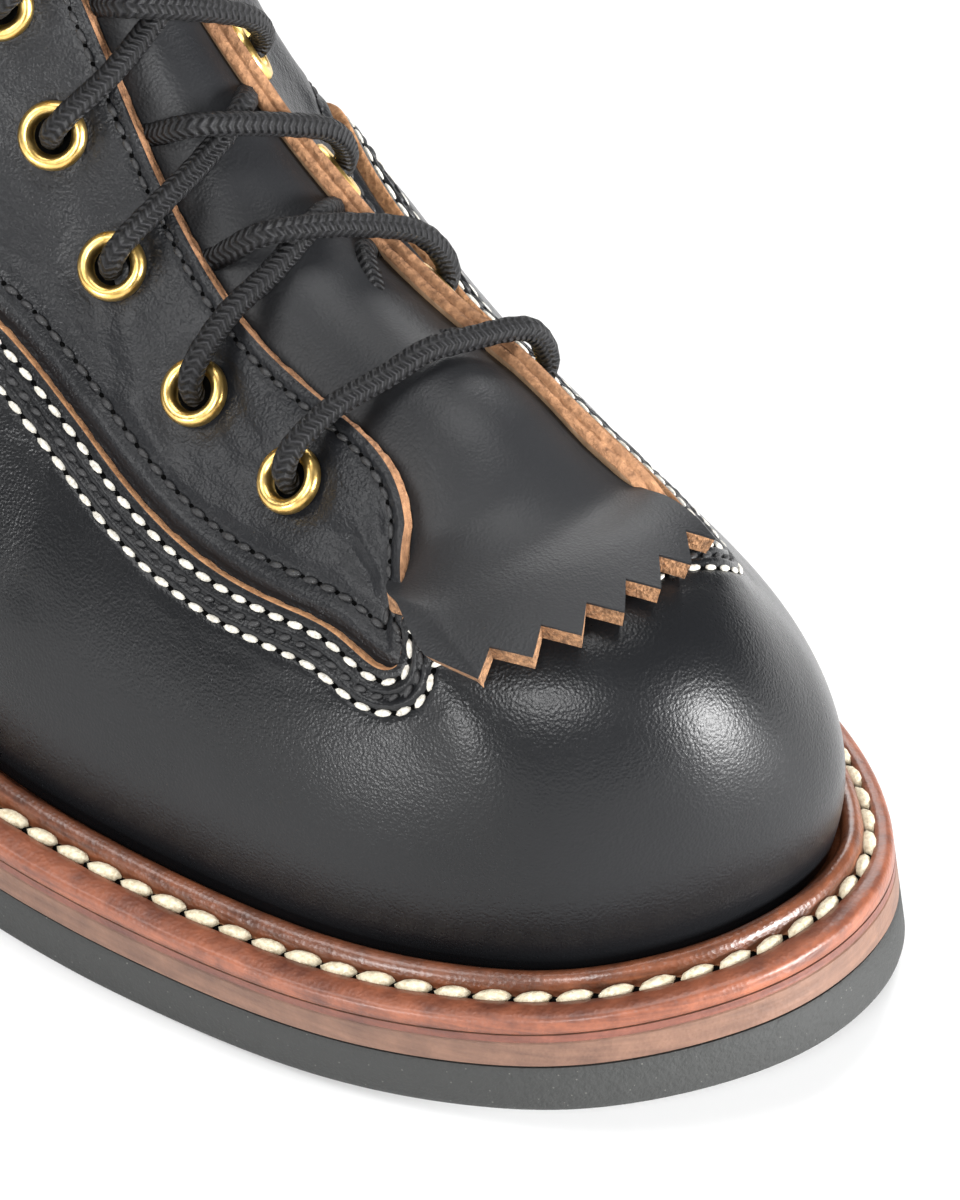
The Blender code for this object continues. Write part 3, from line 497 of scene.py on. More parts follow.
# %% The four curves round the boot
outline_spline = ring_spline([(-row.outer * BALL_WIDTH, y_at(row.along)) for row in OUTLINE],
                             [(row.inner * BALL_WIDTH, y_at(row.along)) for row in OUTLINE])
top_spline = ring_spline(
    [(row.centre * BALL_WIDTH - row.outer * SHAFT_WIDTH, y_at(row.along), row.height * SHAFT_HEIGHT)
     for row in TOP_EDGE],
    [(row.centre * BALL_WIDTH + row.inner * SHAFT_WIDTH, y_at(row.along), row.height * SHAFT_HEIGHT)
     for row in TOP_EDGE])
rib_spline = ring_spline(
    [tuple(TOE_HEIGHT * value for value in (row.bulge, row.rise, row.out, row.drop)) for row in RIBS],
    [tuple(TOE_HEIGHT * value for value in (row.inner_bulge, row.rise, row.inner_out, row.inner_drop))
     for row in RIBS])
cover_spline = ring_spline([(row.cover,) for row in TOP_EDGE], [(row.cover,) for row in TOP_EDGE])
print("curves: outline, top edge, ribs, overlays")


# %% The sole's lines
def tread_height(along):
    """Height of the outsole's underside, and of its line under the heel."""
    along = np.asarray(along, float)
    toe = TOE_SPRING * (np.clip(along - TREAD_FRONT, 0.0, 1.0) / (1.0 - TREAD_FRONT)) ** 2
    rise = smooth((TREAD_BACK - along) / (TREAD_BACK - SEAT_FRONT))
    return toe + (HEEL_HEIGHT - OUTSOLE_THICKNESS) * rise


def outline(u):
    """The sole's edge in plan and its outward direction."""
    u = np.asarray(u)
    tangent = unit(on_ring(outline_spline, u + 0.01) - on_ring(outline_spline, u - 0.01))
    return on_ring(outline_spline, u), np.c_[tangent[:, 1], -tangent[:, 0]]


def welt_margin(u):
    """How far the welt stands out from the upper."""
    point, outward = outline(u)
    front = TOE_MARGIN + (INNER_MARGIN - TOE_MARGIN) * smooth(outward[:, 0])
    return HEEL_MARGIN + (front - HEEL_MARGIN) * smooth((along_of(point[:, 1]) - 0.25) / 0.25)


def sole_line(u, inset, depth):
    """A line round the sole, inset from its edge and depth above the tread."""
    point, outward = outline(u)
    plan = point - outward * np.broadcast_to(inset, len(point))[:, None]
    along = along_of(plan[:, 1])
    slope = (tread_height(along + 1e-3) - tread_height(along - 1e-3)) / (2e-3 * SOLE_LENGTH)
    shift = slope * (along_of(point[:, 1]) > TREAD_BALL) * (SOLE_STACK - depth)
    return np.c_[plan[:, 0] + shift * TOE_TURN, plan[:, 1] - shift * (1.0 - TOE_TURN),
                 tread_height(along) + depth]


print("sole from y =", round(float(y_at(0.0)), 3), "to", round(float(y_at(1.0)), 3))


# %% The wall
def wall_point(u, v):
    """The upper's outer face: u round the boot, v from the welt to the top edge."""
    u = np.atleast_1d(np.asarray(u, float))
    v = np.broadcast_to(np.asarray(v, float), u.shape)[:, None]
    outward = np.c_[outline(u)[1], np.zeros(len(u))]
    foot = sole_line(u, welt_margin(u) + OVERLAY, SOLE_STACK + 3 * GAP)
    top = on_ring(top_spline, u)
    bulge, rise, out, drop = [column[:, None] for column in on_ring(rib_spline, u).T]
    turn = on_ring(top_spline, u + EDGE_REACH) - on_ring(top_spline, u - EDGE_REACH)
    turn /= np.linalg.norm(turn[:, :2], axis=1)[:, None]
    away = np.c_[turn[:, 1], -turn[:, 0], np.zeros(len(u))]
    away += (outward - away) * smooth((FAN_START - np.abs(np.mod(u, RING) - SECTIONS)) / FAN_RUN)[:, None]
    up = np.array([0.0, 0.0, 1.0])
    low = foot + outward * bulge + up * rise
    high = top + away * out - up * drop
    w = 1.0 - v
    return w ** 3 * foot + 3 * w * w * v * low + 3 * w * v * v * high + v ** 3 * top


def wall_normal(u, v):
    u = np.atleast_1d(np.asarray(u, float))
    v = np.broadcast_to(np.asarray(v, float), u.shape)
    round_it = wall_point(u + 0.02, v) - wall_point(u - 0.02, v)
    up_it = wall_point(u, np.minimum(v + 0.01, 1.0)) - wall_point(u, np.maximum(v - 0.01, 0.0))
    normal = np.cross(round_it, up_it)
    return normal / np.maximum(np.linalg.norm(normal, axis=1), 1e-12)[:, None]


def wall_offset(u, v, lift):
    return wall_point(u, v) + wall_normal(u, v) * np.broadcast_to(lift, np.shape(u))[:, None]


print("instep height in mm:", round(1000 * float(wall_point([9.0], [1.0])[0, 2]), 1))


# %% Edges on the wall
def reach_at(u):
    """How far up its rib the facing goes: it is cut back beside the throat's near corner."""
    u = np.mod(u, RING)
    return 1.0 - 0.24 * (smooth((u - 11.0) / 0.3) - smooth((u - 11.3) / 0.5))


def cover_at(u):
    """How far up each rib the vamp and the counter reach."""
    u = np.mod(np.asarray(u, float), RING)
    cover = on_ring(cover_spline, u)[:, 0] - 0.055 * np.exp(-((u - 10.75) / 0.35) ** 2)
    return np.clip(cover + 0.11 * (smooth((u - 10.95) / 0.5) - smooth((u - 13.2) / 1.2)), 0.03, 0.97)


def wall_grid(u, shares):
    """Points and directions on the wall, a column for each u and a row for each share."""
    rows = shares.shape[1]
    flat_u, flat_v = np.repeat(u, rows), shares.ravel()
    shape = (len(u), rows, 3)
    return wall_point(flat_u, flat_v).reshape(shape), wall_normal(flat_u, flat_v).reshape(shape)


print("cover at the toe:", round(float(cover_at([SECTIONS])[0]), 2))

# %% [markdown]
# ## From points to pieces
# Most pieces here are grids: lines of points, each joined to the next. One helper turns a grid into a mesh
# with a finish for each row, so that a cut edge can be tan between two black faces. A band runs round the
# whole boot and closes on itself, and a ladder spans the sole from its outer edge to its inner edge.


# %% Mesh helpers
def piece(name, verts, faces, materials, numbers=None, flex=None):
    """A smooth mesh object whose place is in its mesh."""
    mesh = bpy.data.meshes.new(name)
    mesh.from_pydata(np.asarray(verts).tolist(), [], faces)
    for material in materials:
        mesh.materials.append(material)
    if numbers is not None:
        mesh.polygons.foreach_set("material_index", np.asarray(numbers, np.int32))
    if flex is not None:
        mask = mesh.attributes.new("flex", "FLOAT", "POINT")
        mask.data.foreach_set("value", np.asarray(flex, np.float32).ravel())
    mesh.shade_smooth()
    thing = bpy.data.objects.new(name, mesh)
    bpy.context.scene.collection.objects.link(thing)
    return thing


def grid_faces(columns, rows, around=False):
    """Faces of a grid, with its columns closed into a ring where around is true."""
    i, j = np.meshgrid(np.arange(columns if around else columns - 1), np.arange(rows - 1), indexing="ij")
    k = (i + 1) % columns
    faces = np.stack([i * rows + j, k * rows + j, k * rows + j + 1, i * rows + j + 1], axis=-1)
    return faces.reshape(-1, 4), j.ravel()


def grid_piece(name, grid, materials, row_material, around=False, flex=None):
    """A piece from a grid of points; row_material gives the finish of each row of faces."""
    faces, rows = grid_faces(grid.shape[0], grid.shape[1], around)
    return piece(name, grid.reshape(-1, 3), faces.tolist(), materials, np.asarray(row_material)[rows], flex)


print("mesh helpers ready")


# %% Mend, measure and place a piece
def mend(thing, merge=True, outward=False, crease_angle=None):
    """Merge doubled points, turn faces outward, and keep edges over the crease angle sharp."""
    body = bmesh.new()
    body.from_mesh(thing.data)
    if merge:
        bmesh.ops.remove_doubles(body, verts=body.verts, dist=1e-6)
    if outward:
        bmesh.ops.recalc_face_normals(body, faces=body.faces)
    body.to_mesh(thing.data)
    body.free()
    if outward:
        thing.data.shade_smooth()
    if crease_angle:
        thing.data.set_sharp_from_angle(angle=math.radians(crease_angle))


def report(thing):
    thing.data.calc_loop_triangles()
    print(thing.name, "-", len(thing.data.loop_triangles), "triangles")


def finish_piece(thing, slot, *nodes):
    """Set a piece on the boot in place of its solids."""
    mend(thing)
    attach(thing, "root")
    if nodes:
        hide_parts(*nodes)
    report(thing)


print("ready to place pieces")

# %% [markdown]
# ## The sole
# The welt is a strip of leather sewn round the upper. A rounded bead hides the joint with the upper, then
# comes a groove with thick cream stitches, and then the lip. Under it lie two layers of midsole leather and a
# flat rubber sole. All of them are lines round the same outline, so each is one profile swept round it.

# %% Welt
sole_u = np.linspace(0.0, RING, 900, endpoint=False)
edge = welt_margin(sole_u)
bead_foot = edge - BEAD_OFFSET
shelf = np.maximum(bead_foot - BEAD_WIDTH, 0.0001)
welt_low = SOLE_STACK - WELT_THICKNESS
welt_profile = [(edge + WELT_TUCK, SOLE_STACK)]
for angle in np.linspace(0.0, math.pi, 10):
    welt_profile.append((bead_foot - 0.5 * BEAD_WIDTH * (1.0 - math.cos(angle)),
                         SOLE_STACK + BEAD_HEIGHT * math.sin(angle) ** 0.8))
bead_rows = len(welt_profile)
for share, lift in ((0.99, -0.0004), (0.95, -0.0009), (0.86, -0.0011), (0.74, -0.0009), (0.68, -0.0003),
                    (0.63, 0.0003), (0.46, 0.0004), (0.24, 0.0003), (0.09, 0.0), (0.02, -0.0004)):
    welt_profile.append((shelf * share, SOLE_STACK + lift))
groove_rows = bead_rows + 5
welt_profile += [(0.0, SOLE_STACK - 0.0010), (0.0, SOLE_STACK - 0.0017), (0.0, welt_low),
                 (edge + WELT_TUCK, welt_low)]
welt_lines = np.array([sole_line(sole_u, inset, depth) for inset, depth in welt_profile])
uneven = np.array([wander(Vector(point) * 160.0) for point in welt_lines[bead_rows + 7]])
welt_lines[bead_rows:-2, :, 2] += 0.00016 * uneven
welt_grid = np.concatenate([welt_lines, welt_lines[:1]]).transpose(1, 0, 2)[:, ::-1]
count = welt_grid.shape[1] - 1
zone = np.full(count, 2)
zone[count - bead_rows:] = 0
zone[count - groove_rows:count - bead_rows] = 1
welt = grid_piece("welt_strip", welt_grid, [bead_leather, groove_leather, lip_leather], zone, True)
finish_piece(welt, "brown welt leather", "welt")


# %% Layers across the sole
def ladder(name, outer, inner, materials, row_material, ends):
    """A closed layer between the sole's outer and inner edges; each edge is a stack of lines."""
    grid = np.concatenate([np.array(outer), np.array(inner)[::-1]]).transpose(1, 0, 2)
    rows = grid.shape[1]
    faces, numbers = grid_faces(grid.shape[0], rows)
    numbers = np.asarray(row_material)[np.minimum(numbers, rows - 2 - numbers) % rows]
    bridge = [(i * rows + rows - 1, (i + 1) * rows + rows - 1, (i + 1) * rows, i * rows)
              for i in range(grid.shape[0] - 1)]
    faces = [tuple(face) for face in faces.tolist()] + bridge
    numbers = list(numbers) + [ends] * len(bridge)
    caps = [tuple(range(rows))[::-1], tuple((grid.shape[0] - 1) * rows + j for j in range(rows))]
    thing = piece(name, grid.reshape(-1, 3), faces + caps, materials, numbers + [ends] * len(caps))
    mend(thing, outward=True, crease_angle=38)
    return thing


print("ready to build layers")


# %% Midsole and rubber sole
def section_at(along):
    u = np.linspace(0.0, SECTIONS, 2001)
    return float(np.interp(along, along_of(outline(u)[0][:, 1]), u))


def sole_layer(name, stations, lines, materials, row_material, ends):
    outer = [sole_line(stations, inset, depth) for inset, depth in lines]
    inner = [sole_line(RING - stations, inset, depth) for inset, depth in lines]
    return ladder(name, outer, inner, materials, row_material, ends)


stations = np.linspace(0.0, SECTIONS, 420)
mid_top = SOLE_STACK - WELT_THICKNESS - GAP
seam = OUTSOLE_THICKNESS + 0.72 * MIDSOLE_THICKNESS
midsole = sole_layer("midsole_layers", stations,
                     [(0.0, mid_top), (0.0, seam + 0.0002), (0.0002, seam), (0.0, seam - 0.0002),
                      (0.0, OUTSOLE_THICKNESS + 0.0003), (0.0003, OUTSOLE_THICKNESS)],
                     [upper_layer, lower_layer], [0, 0, 1, 1, 1, 0], 1)
finish_piece(midsole, "stacked leather", "midsole")
tread_u = np.linspace(section_at(BREAST), SECTIONS, 360)
outsole = sole_layer("rubber_sole", tread_u,
                     [(0.0003, OUTSOLE_THICKNESS - GAP), (0.0, OUTSOLE_THICKNESS - 0.0008), (0.0, 0.0012),
                      (0.0003, 0.0004), (0.0010, 0.0)], [outsole_rubber], [0, 0, 0, 0, 0], 0)
finish_piece(outsole, "black rubber", "outsole")


# %% Heel
HEEL_HALF_WIDTH, SEAM_BASE, SEAM_WIDTH = 0.345, 0.0084, 0.0003


def heel_piece(name, heights, material):
    """A stack of lifts whose sides lean in towards the floor."""
    u = np.linspace(0.0, section_at(BREAST) - 0.02, 90)
    middle = y_at(BREAST * 0.5)
    sides = []
    for side in (u, RING - u):
        top = sole_line(side, 0.0, OUTSOLE_THICKNESS)
        lines = []
        for height, pinch in heights:
            share = 0.0 if height is None else 1.0 - height / HEEL_HEIGHT
            line = top.copy()
            drawn_in = HEEL_UNDERCUT * share + pinch
            line[:, 0] *= 1.0 - drawn_in / (HEEL_HALF_WIDTH * BALL_WIDTH)
            line[:, 1] = middle + (top[:, 1] - middle) * (1.0 - drawn_in / (BREAST * SOLE_LENGTH))
            line[:, 2] = top[:, 2] - GAP if height is None else height
            lines.append(line)
        sides.append(lines)
    return ladder(name, sides[0], sides[1], [material], [0] * len(heights), 0)


lifts = [(None, 0.0)]
for step in range(5, 1, -1):
    lifts += [(step * LIFT_THICKNESS + SEAM_BASE + lift, pinch)
              for lift, pinch in ((SEAM_WIDTH, 0.0), (0.0, SEAM_WIDTH), (-SEAM_WIDTH, 0.0))]
heel = heel_piece("heel_lifts", lifts + [(TOP_LIFT_THICKNESS + GAP, 0.0)], heel_leather)
finish_piece(heel, "stacked leather", "heel_stack")
top_lift = heel_piece("heel_rubber", [(TOP_LIFT_THICKNESS, 0.0), (0.0008, 0.0), (0.0, 0.0006)],
                      outsole_rubber)
finish_piece(top_lift, "black rubber", "heel_top_lift")
for slot in bpy.data.objects["insole"].material_slots:
    slot.material = insole_leather

# %% [markdown]
# ## The upper's leather
# The wall is two layers. Underneath lie the quarters with their lace facings, which end in a double cut edge
# beside the throat. Over them lie the vamp in front and the counter behind, whose raw edges are stitched down
# with three rows of thread on the vamp and two on the counter. The leather is drawn in under each row and
# swells between them, and it creases where the foot bends, so each point of the grid is moved a little along
# the wall's own direction.

# %% Creases laid one by one
Crease = namedtuple("Crease", "name u v to_u to_v width depth")
CREASES = [Crease(*row) for row in (
    ("tip fan, outer", 11.10, 0.720, 10.40, 0.800, 0.040, -0.0110),
    ("tip fan, middle", 11.05, 0.800, 10.55, 0.880, 0.034, -0.0100),
    ("tip fan, edge", 11.00, 0.870, 10.50, 0.930, 0.030, -0.0070),
    ("tip ridge, outer", 11.08, 0.760, 10.50, 0.840, 0.034, 0.0080),
    ("below first eyelet", 10.60, 0.790, 9.90, 0.800, 0.040, -0.0080),
    ("below second eyelet", 9.70, 0.770, 9.20, 0.800, 0.040, -0.0070),
    ("between eyelets", 9.45, 0.850, 9.15, 0.900, 0.036, -0.0060),
    ("instep roll", 8.60, 0.700, 8.20, 0.860, 0.070, -0.0120),
    ("instep roll ridge", 8.90, 0.690, 8.50, 0.840, 0.080, 0.0100),
    ("ankle fold", 7.00, 0.420, 6.40, 0.640, 0.140, -0.0280),
    ("ankle fold ridge", 7.40, 0.400, 6.70, 0.650, 0.150, 0.0200),
    ("ankle fold, upper", 6.20, 0.480, 5.10, 0.560, 0.160, -0.0240),
    ("vamp side dent", 8.10, 0.330, 8.40, 0.560, 0.110, -0.0110),
    ("vamp side swell", 7.60, 0.300, 7.90, 0.540, 0.120, 0.0100),
    ("inner ankle fold", 19.00, 0.420, 19.60, 0.640, 0.140, -0.0280),
    ("inner ankle ridge", 18.60, 0.400, 19.30, 0.650, 0.150, 0.0200),
    ("inner ankle fold, upper", 19.80, 0.480, 20.90, 0.560, 0.160, -0.0240),
    ("inner vamp dent", 17.90, 0.330, 17.60, 0.560, 0.110, -0.0110),
)]


print("creases:", len(CREASES))


# %% Distances, creases and uneven leather
def distance_to(points, path):
    """Distance of every point to a line of close points."""
    tree = KDTree(len(path))
    for index, place in enumerate(path):
        tree.insert(place, index)
    tree.balance()
    flat = points.reshape(-1, 3)
    return np.array([tree.find(place)[2] for place in flat.tolist()]).reshape(points.shape[:-1])


def crease_relief(points, creases):
    """Soft troughs and ridges along the listed lines, as shares of the toe's height."""
    relief = np.zeros(points.shape[:-1])
    for row in creases:
        share = np.linspace(0.0, 1.0, 24)
        line = wall_point(row.u + (row.to_u - row.u) * share, row.v + (row.to_v - row.v) * share)
        reach = row.width * TOE_HEIGHT
        far = np.linalg.norm(line[-1] - line[0]) + 5 * reach
        near = np.linalg.norm(points - line.mean(axis=0), axis=-1) < far
        if near.any():
            away = distance_to(points[near][None], line)[0]
            relief[near] += row.depth * TOE_HEIGHT * np.exp(-(away / reach) ** 2)
    return relief


def pucker(points, size, seed):
    """A smooth random value for each point, about -1 to 1."""
    flat = points.reshape(-1, 3) / size + seed
    return np.array([wander(place) for place in flat.tolist()]).reshape(points.shape[:-1]) * 2.0


print("ready to crease")

# %% Stitch lines and edges
WHITE_ROWS = (0.0016, 0.0058)
BLACK_ROW = 0.0037
FACING_ROW = 0.0020
PANEL_ROW = 0.0044
edge_u = np.linspace(0.0, RING, 2400)
raw_line = wall_offset(edge_u, cover_at(edge_u), OVERLAY)
top_line = wall_point(edge_u, reach_at(edge_u))


def bump_at(distance, centre, width):
    return np.exp(-((distance - centre) / width) ** 2)


def crossing(grid, normals, distance, wanted, from_top):
    """The line on a grid at a set distance from an edge, one point a column."""
    places, ups = [], []
    order = range(grid.shape[1] - 1, 0, -1) if from_top else range(grid.shape[1] - 1)
    step = -1 if from_top else 1
    for column in range(grid.shape[0]):
        for row in order:
            a, b = distance[column, row], distance[column, row + step]
            if a < wanted <= b:
                t = (wanted - a) / (b - a)
                places.append(grid[column, row] * (1 - t) + grid[column, row + step] * t)
                ups.append(normals[column, row])
                break
    return np.array(places), np.array(ups)


print("raw edge round the boot:", round(float(run_along(raw_line)[-1]), 3), "m")


# %% Vamp and counter
def overlay(name, start, stop, columns, rows):
    """A leather piece over the quarters, from the welt to its raw edge."""
    u = np.linspace(start, stop, columns)
    cover = cover_at(u)[:, None]
    shares = cover * (1.0 - (1.0 - np.linspace(0.0, 1.0, rows)[None, :]) ** 1.25)
    points, normals = wall_grid(u, shares)
    away = distance_to(points + normals * OVERLAY, raw_line)
    waves = pucker(points, 0.0055, 3.1)
    lift = OVERLAY - 0.00028 * sum(bump_at(away, row, 0.00055) for row in WHITE_ROWS)
    between = bump_at(away, 0.0027, 0.0006) + bump_at(away, 0.0047, 0.0006)
    lift += 0.00034 * between * (1.0 + 0.55 * waves)
    lift -= 0.00026 * bump_at(away, BLACK_ROW, 0.0004)
    lift += 0.00012 * bump_at(away, 0.0080, 0.0018) * waves
    lift += crease_relief(points, CREASES) + 0.00016 * pucker(points, 0.030, 9.0)
    flex = np.clip(1.2 - away / 0.012, 0.12, 1.0)
    surface = points + normals * lift[:, :, None]
    rib = unit(points[:, -1] - points[:, -4])
    fuzz = 0.00012 * pucker(surface[:, -1], 0.0013, 5.0)[:, None]
    rim = []
    for out, down in ((0.30, 0.10), (0.42, 0.30), (0.42, 0.60), (0.34, 0.90), (0.20, 1.10)):
        rim.append(surface[:, -1] + rib * (out * 0.0008 + fuzz) - normals[:, -1] * down * OVERLAY)
    foot = surface[:, :1].copy()
    foot[:, :, 2] -= 0.0014
    foot = foot + (surface[:, :1] - surface[:, 3:4]) * 0.2
    grid = np.concatenate([foot, surface, np.array(rim).transpose(1, 0, 2)], axis=1)
    zone = np.zeros(grid.shape[1] - 1, int)
    zone[-5:] = 1
    edge_flex = np.concatenate([flex[:, :1], flex, np.ones((columns, 5))], axis=1)
    thing = grid_piece(name, grid, [vamp_leather, raw_edge], zone, False, edge_flex)
    finish_piece(thing, "black leather")
    return thing, (surface, normals, away)


vamp, vamp_grid = overlay("vamp", 4.15, RING - 4.15, 760, 96)
counter_grid = overlay("counter", -4.12, 4.12, 300, 60)[1]


# %% Places of the eyelets
Nest = namedtuple("Nest", "edge centre normal")


def eyelet_nests():
    """Each pair's eyelets, from the toe up: the edge beside them, their middle and their direction."""
    facing = np.linspace(10.0, TONGUE_TOP - 0.3, 400)
    run = run_along(wall_point(facing, 1.0))
    nests = []
    for k in range(EYELET_PAIRS):
        u = float(np.interp(EYELET_START + k * EYELET_PITCH, run, facing))
        nests.append([nest_beside(edge) for edge in (u, RING - u)])
    return nests


def nest_beside(u):
    """A place on the facing at the eyelets' distance square to its edge."""
    start = wall_point([u], [1.0])[0]
    ahead = unit(wall_point([u + 0.05], [1.0]) - wall_point([u - 0.05], [1.0]))[0]
    best = (u, 0.85)
    for reach in (1.0, 0.2, 0.04, 0.01):
        sides = best[0] + np.linspace(-reach, reach, 21)
        shares = np.clip(best[1] + 0.15 * np.linspace(-reach, reach, 21), 0.0, 1.0)
        side, share = [grid.ravel() for grid in np.meshgrid(sides, shares)]
        away = wall_point(side, share) - start
        miss = (away @ ahead) ** 2 + (np.linalg.norm(away, axis=1) - EYELET_INSET) ** 2
        index = int(np.argmin(miss))
        best = (float(side[index]), float(share[index]))
    return Nest(u, wall_point([best[0]], [best[1]])[0], wall_normal([best[0]], [best[1]])[0])


nests = eyelet_nests()
print("eyelet pairs:", len(nests))

# %% Quarters and facings
PANEL_ROWS = 84
density_u = np.linspace(0.0, RING, 2001)
density = 1.0 + 1.6 * smooth((5.4 - np.abs(density_u - SECTIONS)) / 1.5)
steps = np.concatenate([[0.0], np.cumsum(0.5 * (density[1:] + density[:-1]))])
panel_u = np.interp(np.linspace(0.0, steps[-1], 781)[:-1], steps, density_u)
cover = cover_at(panel_u)[:, None]
low_share = np.maximum(cover - 0.10, 0.01)
shares = low_share + (reach_at(panel_u)[:, None] - low_share) * np.linspace(0.0, 1.0, PANEL_ROWS)[None, :]
points, normals = wall_grid(panel_u, shares)
from_raw = distance_to(points, wall_point(edge_u, cover_at(edge_u)))
from_raw *= np.where(shares > cover, 1.0, -1.0)
from_top = distance_to(points, top_line)
laced = smooth((6.8 - np.abs(panel_u - SECTIONS)) / 0.6)[:, None]
waves = pucker(points, 0.006, 1.7)
lift = laced * (0.00055 * bump_at(from_raw, 0.0024, 0.0011)
                - 0.00030 * bump_at(from_raw, PANEL_ROW, 0.0006)
                + 0.00016 * bump_at(from_raw, 0.0068, 0.0014) * (1.0 + waves))
lift += laced * (-0.00026 * bump_at(from_top, FACING_ROW, 0.0006)
                 + 0.00014 * bump_at(from_top, 0.0008, 0.0006))
for pair in nests:
    for nest in pair:
        around_it = np.linalg.norm(points - nest.centre, axis=-1)
        lift -= 0.00034 * bump_at(around_it, 0.0050, 0.0021) * (1.0 + 0.5 * waves)
lift += crease_relief(points, CREASES) + 0.00013 * laced * pucker(points, 0.013, 4.0)
lift = np.where(from_raw < -0.0012, -0.0004, lift)
outer_face = points + normals * lift[:, :, None]
print("panel columns:", len(panel_u))

# %% Close the quarters over the double edge and the lining
rise = unit(points[:, -1] - points[:, -3])
edge_rows = []
for share in (0.05, 0.14, 0.26, 0.38, 0.46, 0.50, 0.54, 0.62, 0.74, 0.86, 0.95):
    swell = 0.00062 * abs(math.sin(2.0 * math.pi * share)) ** 0.55 - 0.0002
    fuzz = 0.00014 * pucker(outer_face[:, -1] + share * 0.004, 0.0014, 8.0)[:, None]
    edge_rows.append(outer_face[:, -1] + rise * (swell + fuzz) - normals[:, -1] * WALL * share)
inner_shares = np.linspace(1.0, 0.0, 26)[None, :] * reach_at(panel_u)[:, None]
inner_points, inner_normals = wall_grid(panel_u, inner_shares)
inner_face = inner_points - inner_normals * WALL
quarter_grid = np.concatenate([outer_face, np.array(edge_rows).transpose(1, 0, 2), inner_face], axis=1)
zone = np.zeros(quarter_grid.shape[1] - 1, int)
lining_from = PANEL_ROWS + len(edge_rows)
zone[PANEL_ROWS - 1:lining_from] = 1
zone[lining_from:] = 2
flex = np.concatenate([np.clip(0.25 + laced * (1.0 - 0.5 * smooth(from_top / 0.03)), 0.0, 1.0),
                       np.ones((len(panel_u), len(edge_rows) + inner_face.shape[1]))], axis=1)
quarters = grid_piece("quarters", quarter_grid, [facing_leather, facing_edge, lining], zone, True, flex)
finish_piece(quarters, "black leather", "upper")

# %% [markdown]
# ## Stitches
# A sewing machine repeats one stitch at a fixed pitch, which is what Geometry Nodes are good at. The line is
# found on the leather itself, at a set distance from the edge, so it follows every curve. Each place keeps
# its direction along the row and away from the leather as attributes. The tree sets one small padded stitch
# on each place, turned by those two, makes it real and gives it its thread.


# %% A tree for one row of stitches
def stitch_tree():
    """One stitch on every point, turned along the row."""
    tree = bpy.data.node_groups.new("row of stitches", "GeometryNodeTree")
    face = tree.interface
    face.new_socket("Geometry", in_out="INPUT", socket_type="NodeSocketGeometry")
    for name in ("Stitch length", "Stitch width", "Stitch height", "Unevenness"):
        face.new_socket(name, in_out="INPUT", socket_type="NodeSocketFloat")
    face.new_socket("Thread", in_out="INPUT", socket_type="NodeSocketMaterial")
    face.new_socket("Geometry", in_out="OUTPUT", socket_type="NodeSocketGeometry")

    def add(kind, settings=None, **sockets):
        node = tree.nodes.new(kind)
        for name, value in (settings or {}).items():
            setattr(node, name, value)
        for name, value in sockets.items():
            socket = node.inputs[name.replace("_", " ")]
            if isinstance(value, bpy.types.NodeSocket):
                tree.links.new(value, socket)
            else:
                socket.default_value = value
        return node

    given = add("NodeGroupInput").outputs
    bead = add("GeometryNodeMeshUVSphere", Segments=8, Rings=5, Radius=0.5)
    along = add("GeometryNodeInputNamedAttribute", {"data_type": "FLOAT_VECTOR"}, Name="along")
    up = add("GeometryNodeInputNamedAttribute", {"data_type": "FLOAT_VECTOR"}, Name="up")
    turned = add("FunctionNodeAlignRotationToVector", {"axis": "X"}, Vector=along.outputs[0])
    seated = add("FunctionNodeAlignRotationToVector", {"axis": "Z", "pivot_axis": "X"},
                 Rotation=turned.outputs[0], Vector=up.outputs[0])
    size = add("ShaderNodeCombineXYZ", X=given["Stitch length"], Y=given["Stitch width"],
               Z=given["Stitch height"])
    spread = add("FunctionNodeRandomValue", {"data_type": "FLOAT"}, Seed=7)
    spread.inputs[2].default_value = -1.0
    spread.inputs[3].default_value = 1.0
    factor = add("ShaderNodeMath", {"operation": "MULTIPLY_ADD"})
    tree.links.new(spread.outputs[1], factor.inputs[0])
    tree.links.new(given["Unevenness"], factor.inputs[1])
    factor.inputs[2].default_value = 1.0
    scaled = add("ShaderNodeVectorMath", {"operation": "SCALE"}, Scale=factor.outputs[0])
    tree.links.new(size.outputs[0], scaled.inputs[0])
    set_on = add("GeometryNodeInstanceOnPoints", Points=given["Geometry"], Instance=bead.outputs["Mesh"],
                 Rotation=seated.outputs[0], Scale=scaled.outputs[0])
    real = add("GeometryNodeRealizeInstances", Geometry=set_on.outputs[0])
    soft = add("GeometryNodeSetShadeSmooth", Geometry=real.outputs[0])
    dressed = add("GeometryNodeSetMaterial", Geometry=soft.outputs[0], Material=given["Thread"])
    add("NodeGroupOutput", Geometry=dressed.outputs[0])
    return tree


row_of_stitches = stitch_tree()
print("stitch tree nodes:", len(row_of_stitches.nodes))


# %% Kinds of stitch
Stitch = namedtuple("Stitch", "pitch size thread slant lift uneven")
WHITE_STITCH = Stitch(0.0033, (0.0027, 0.00105, 0.00066), white_thread, 0.12, 0.00022, 0.08)
MIDDLE_STITCH = Stitch(0.0027, (0.0022, 0.0010, 0.0009), black_thread, 0.35, 0.00018, 0.15)
FACING_STITCH = Stitch(0.0027, (0.0023, 0.0009, 0.0007), black_thread, 0.15, 0.00018, 0.12)
PANEL_STITCH = Stitch(0.0030, (0.0025, 0.0010, 0.0008), black_thread, 0.15, 0.00018, 0.12)
WELT_STITCH = Stitch(0.0056, (0.0055, 0.0023, 0.0021), cream_thread, 0.16, 0.0005, 0.06)


print("white stitches every", round(1000 * WHITE_STITCH.pitch, 1), "mm")


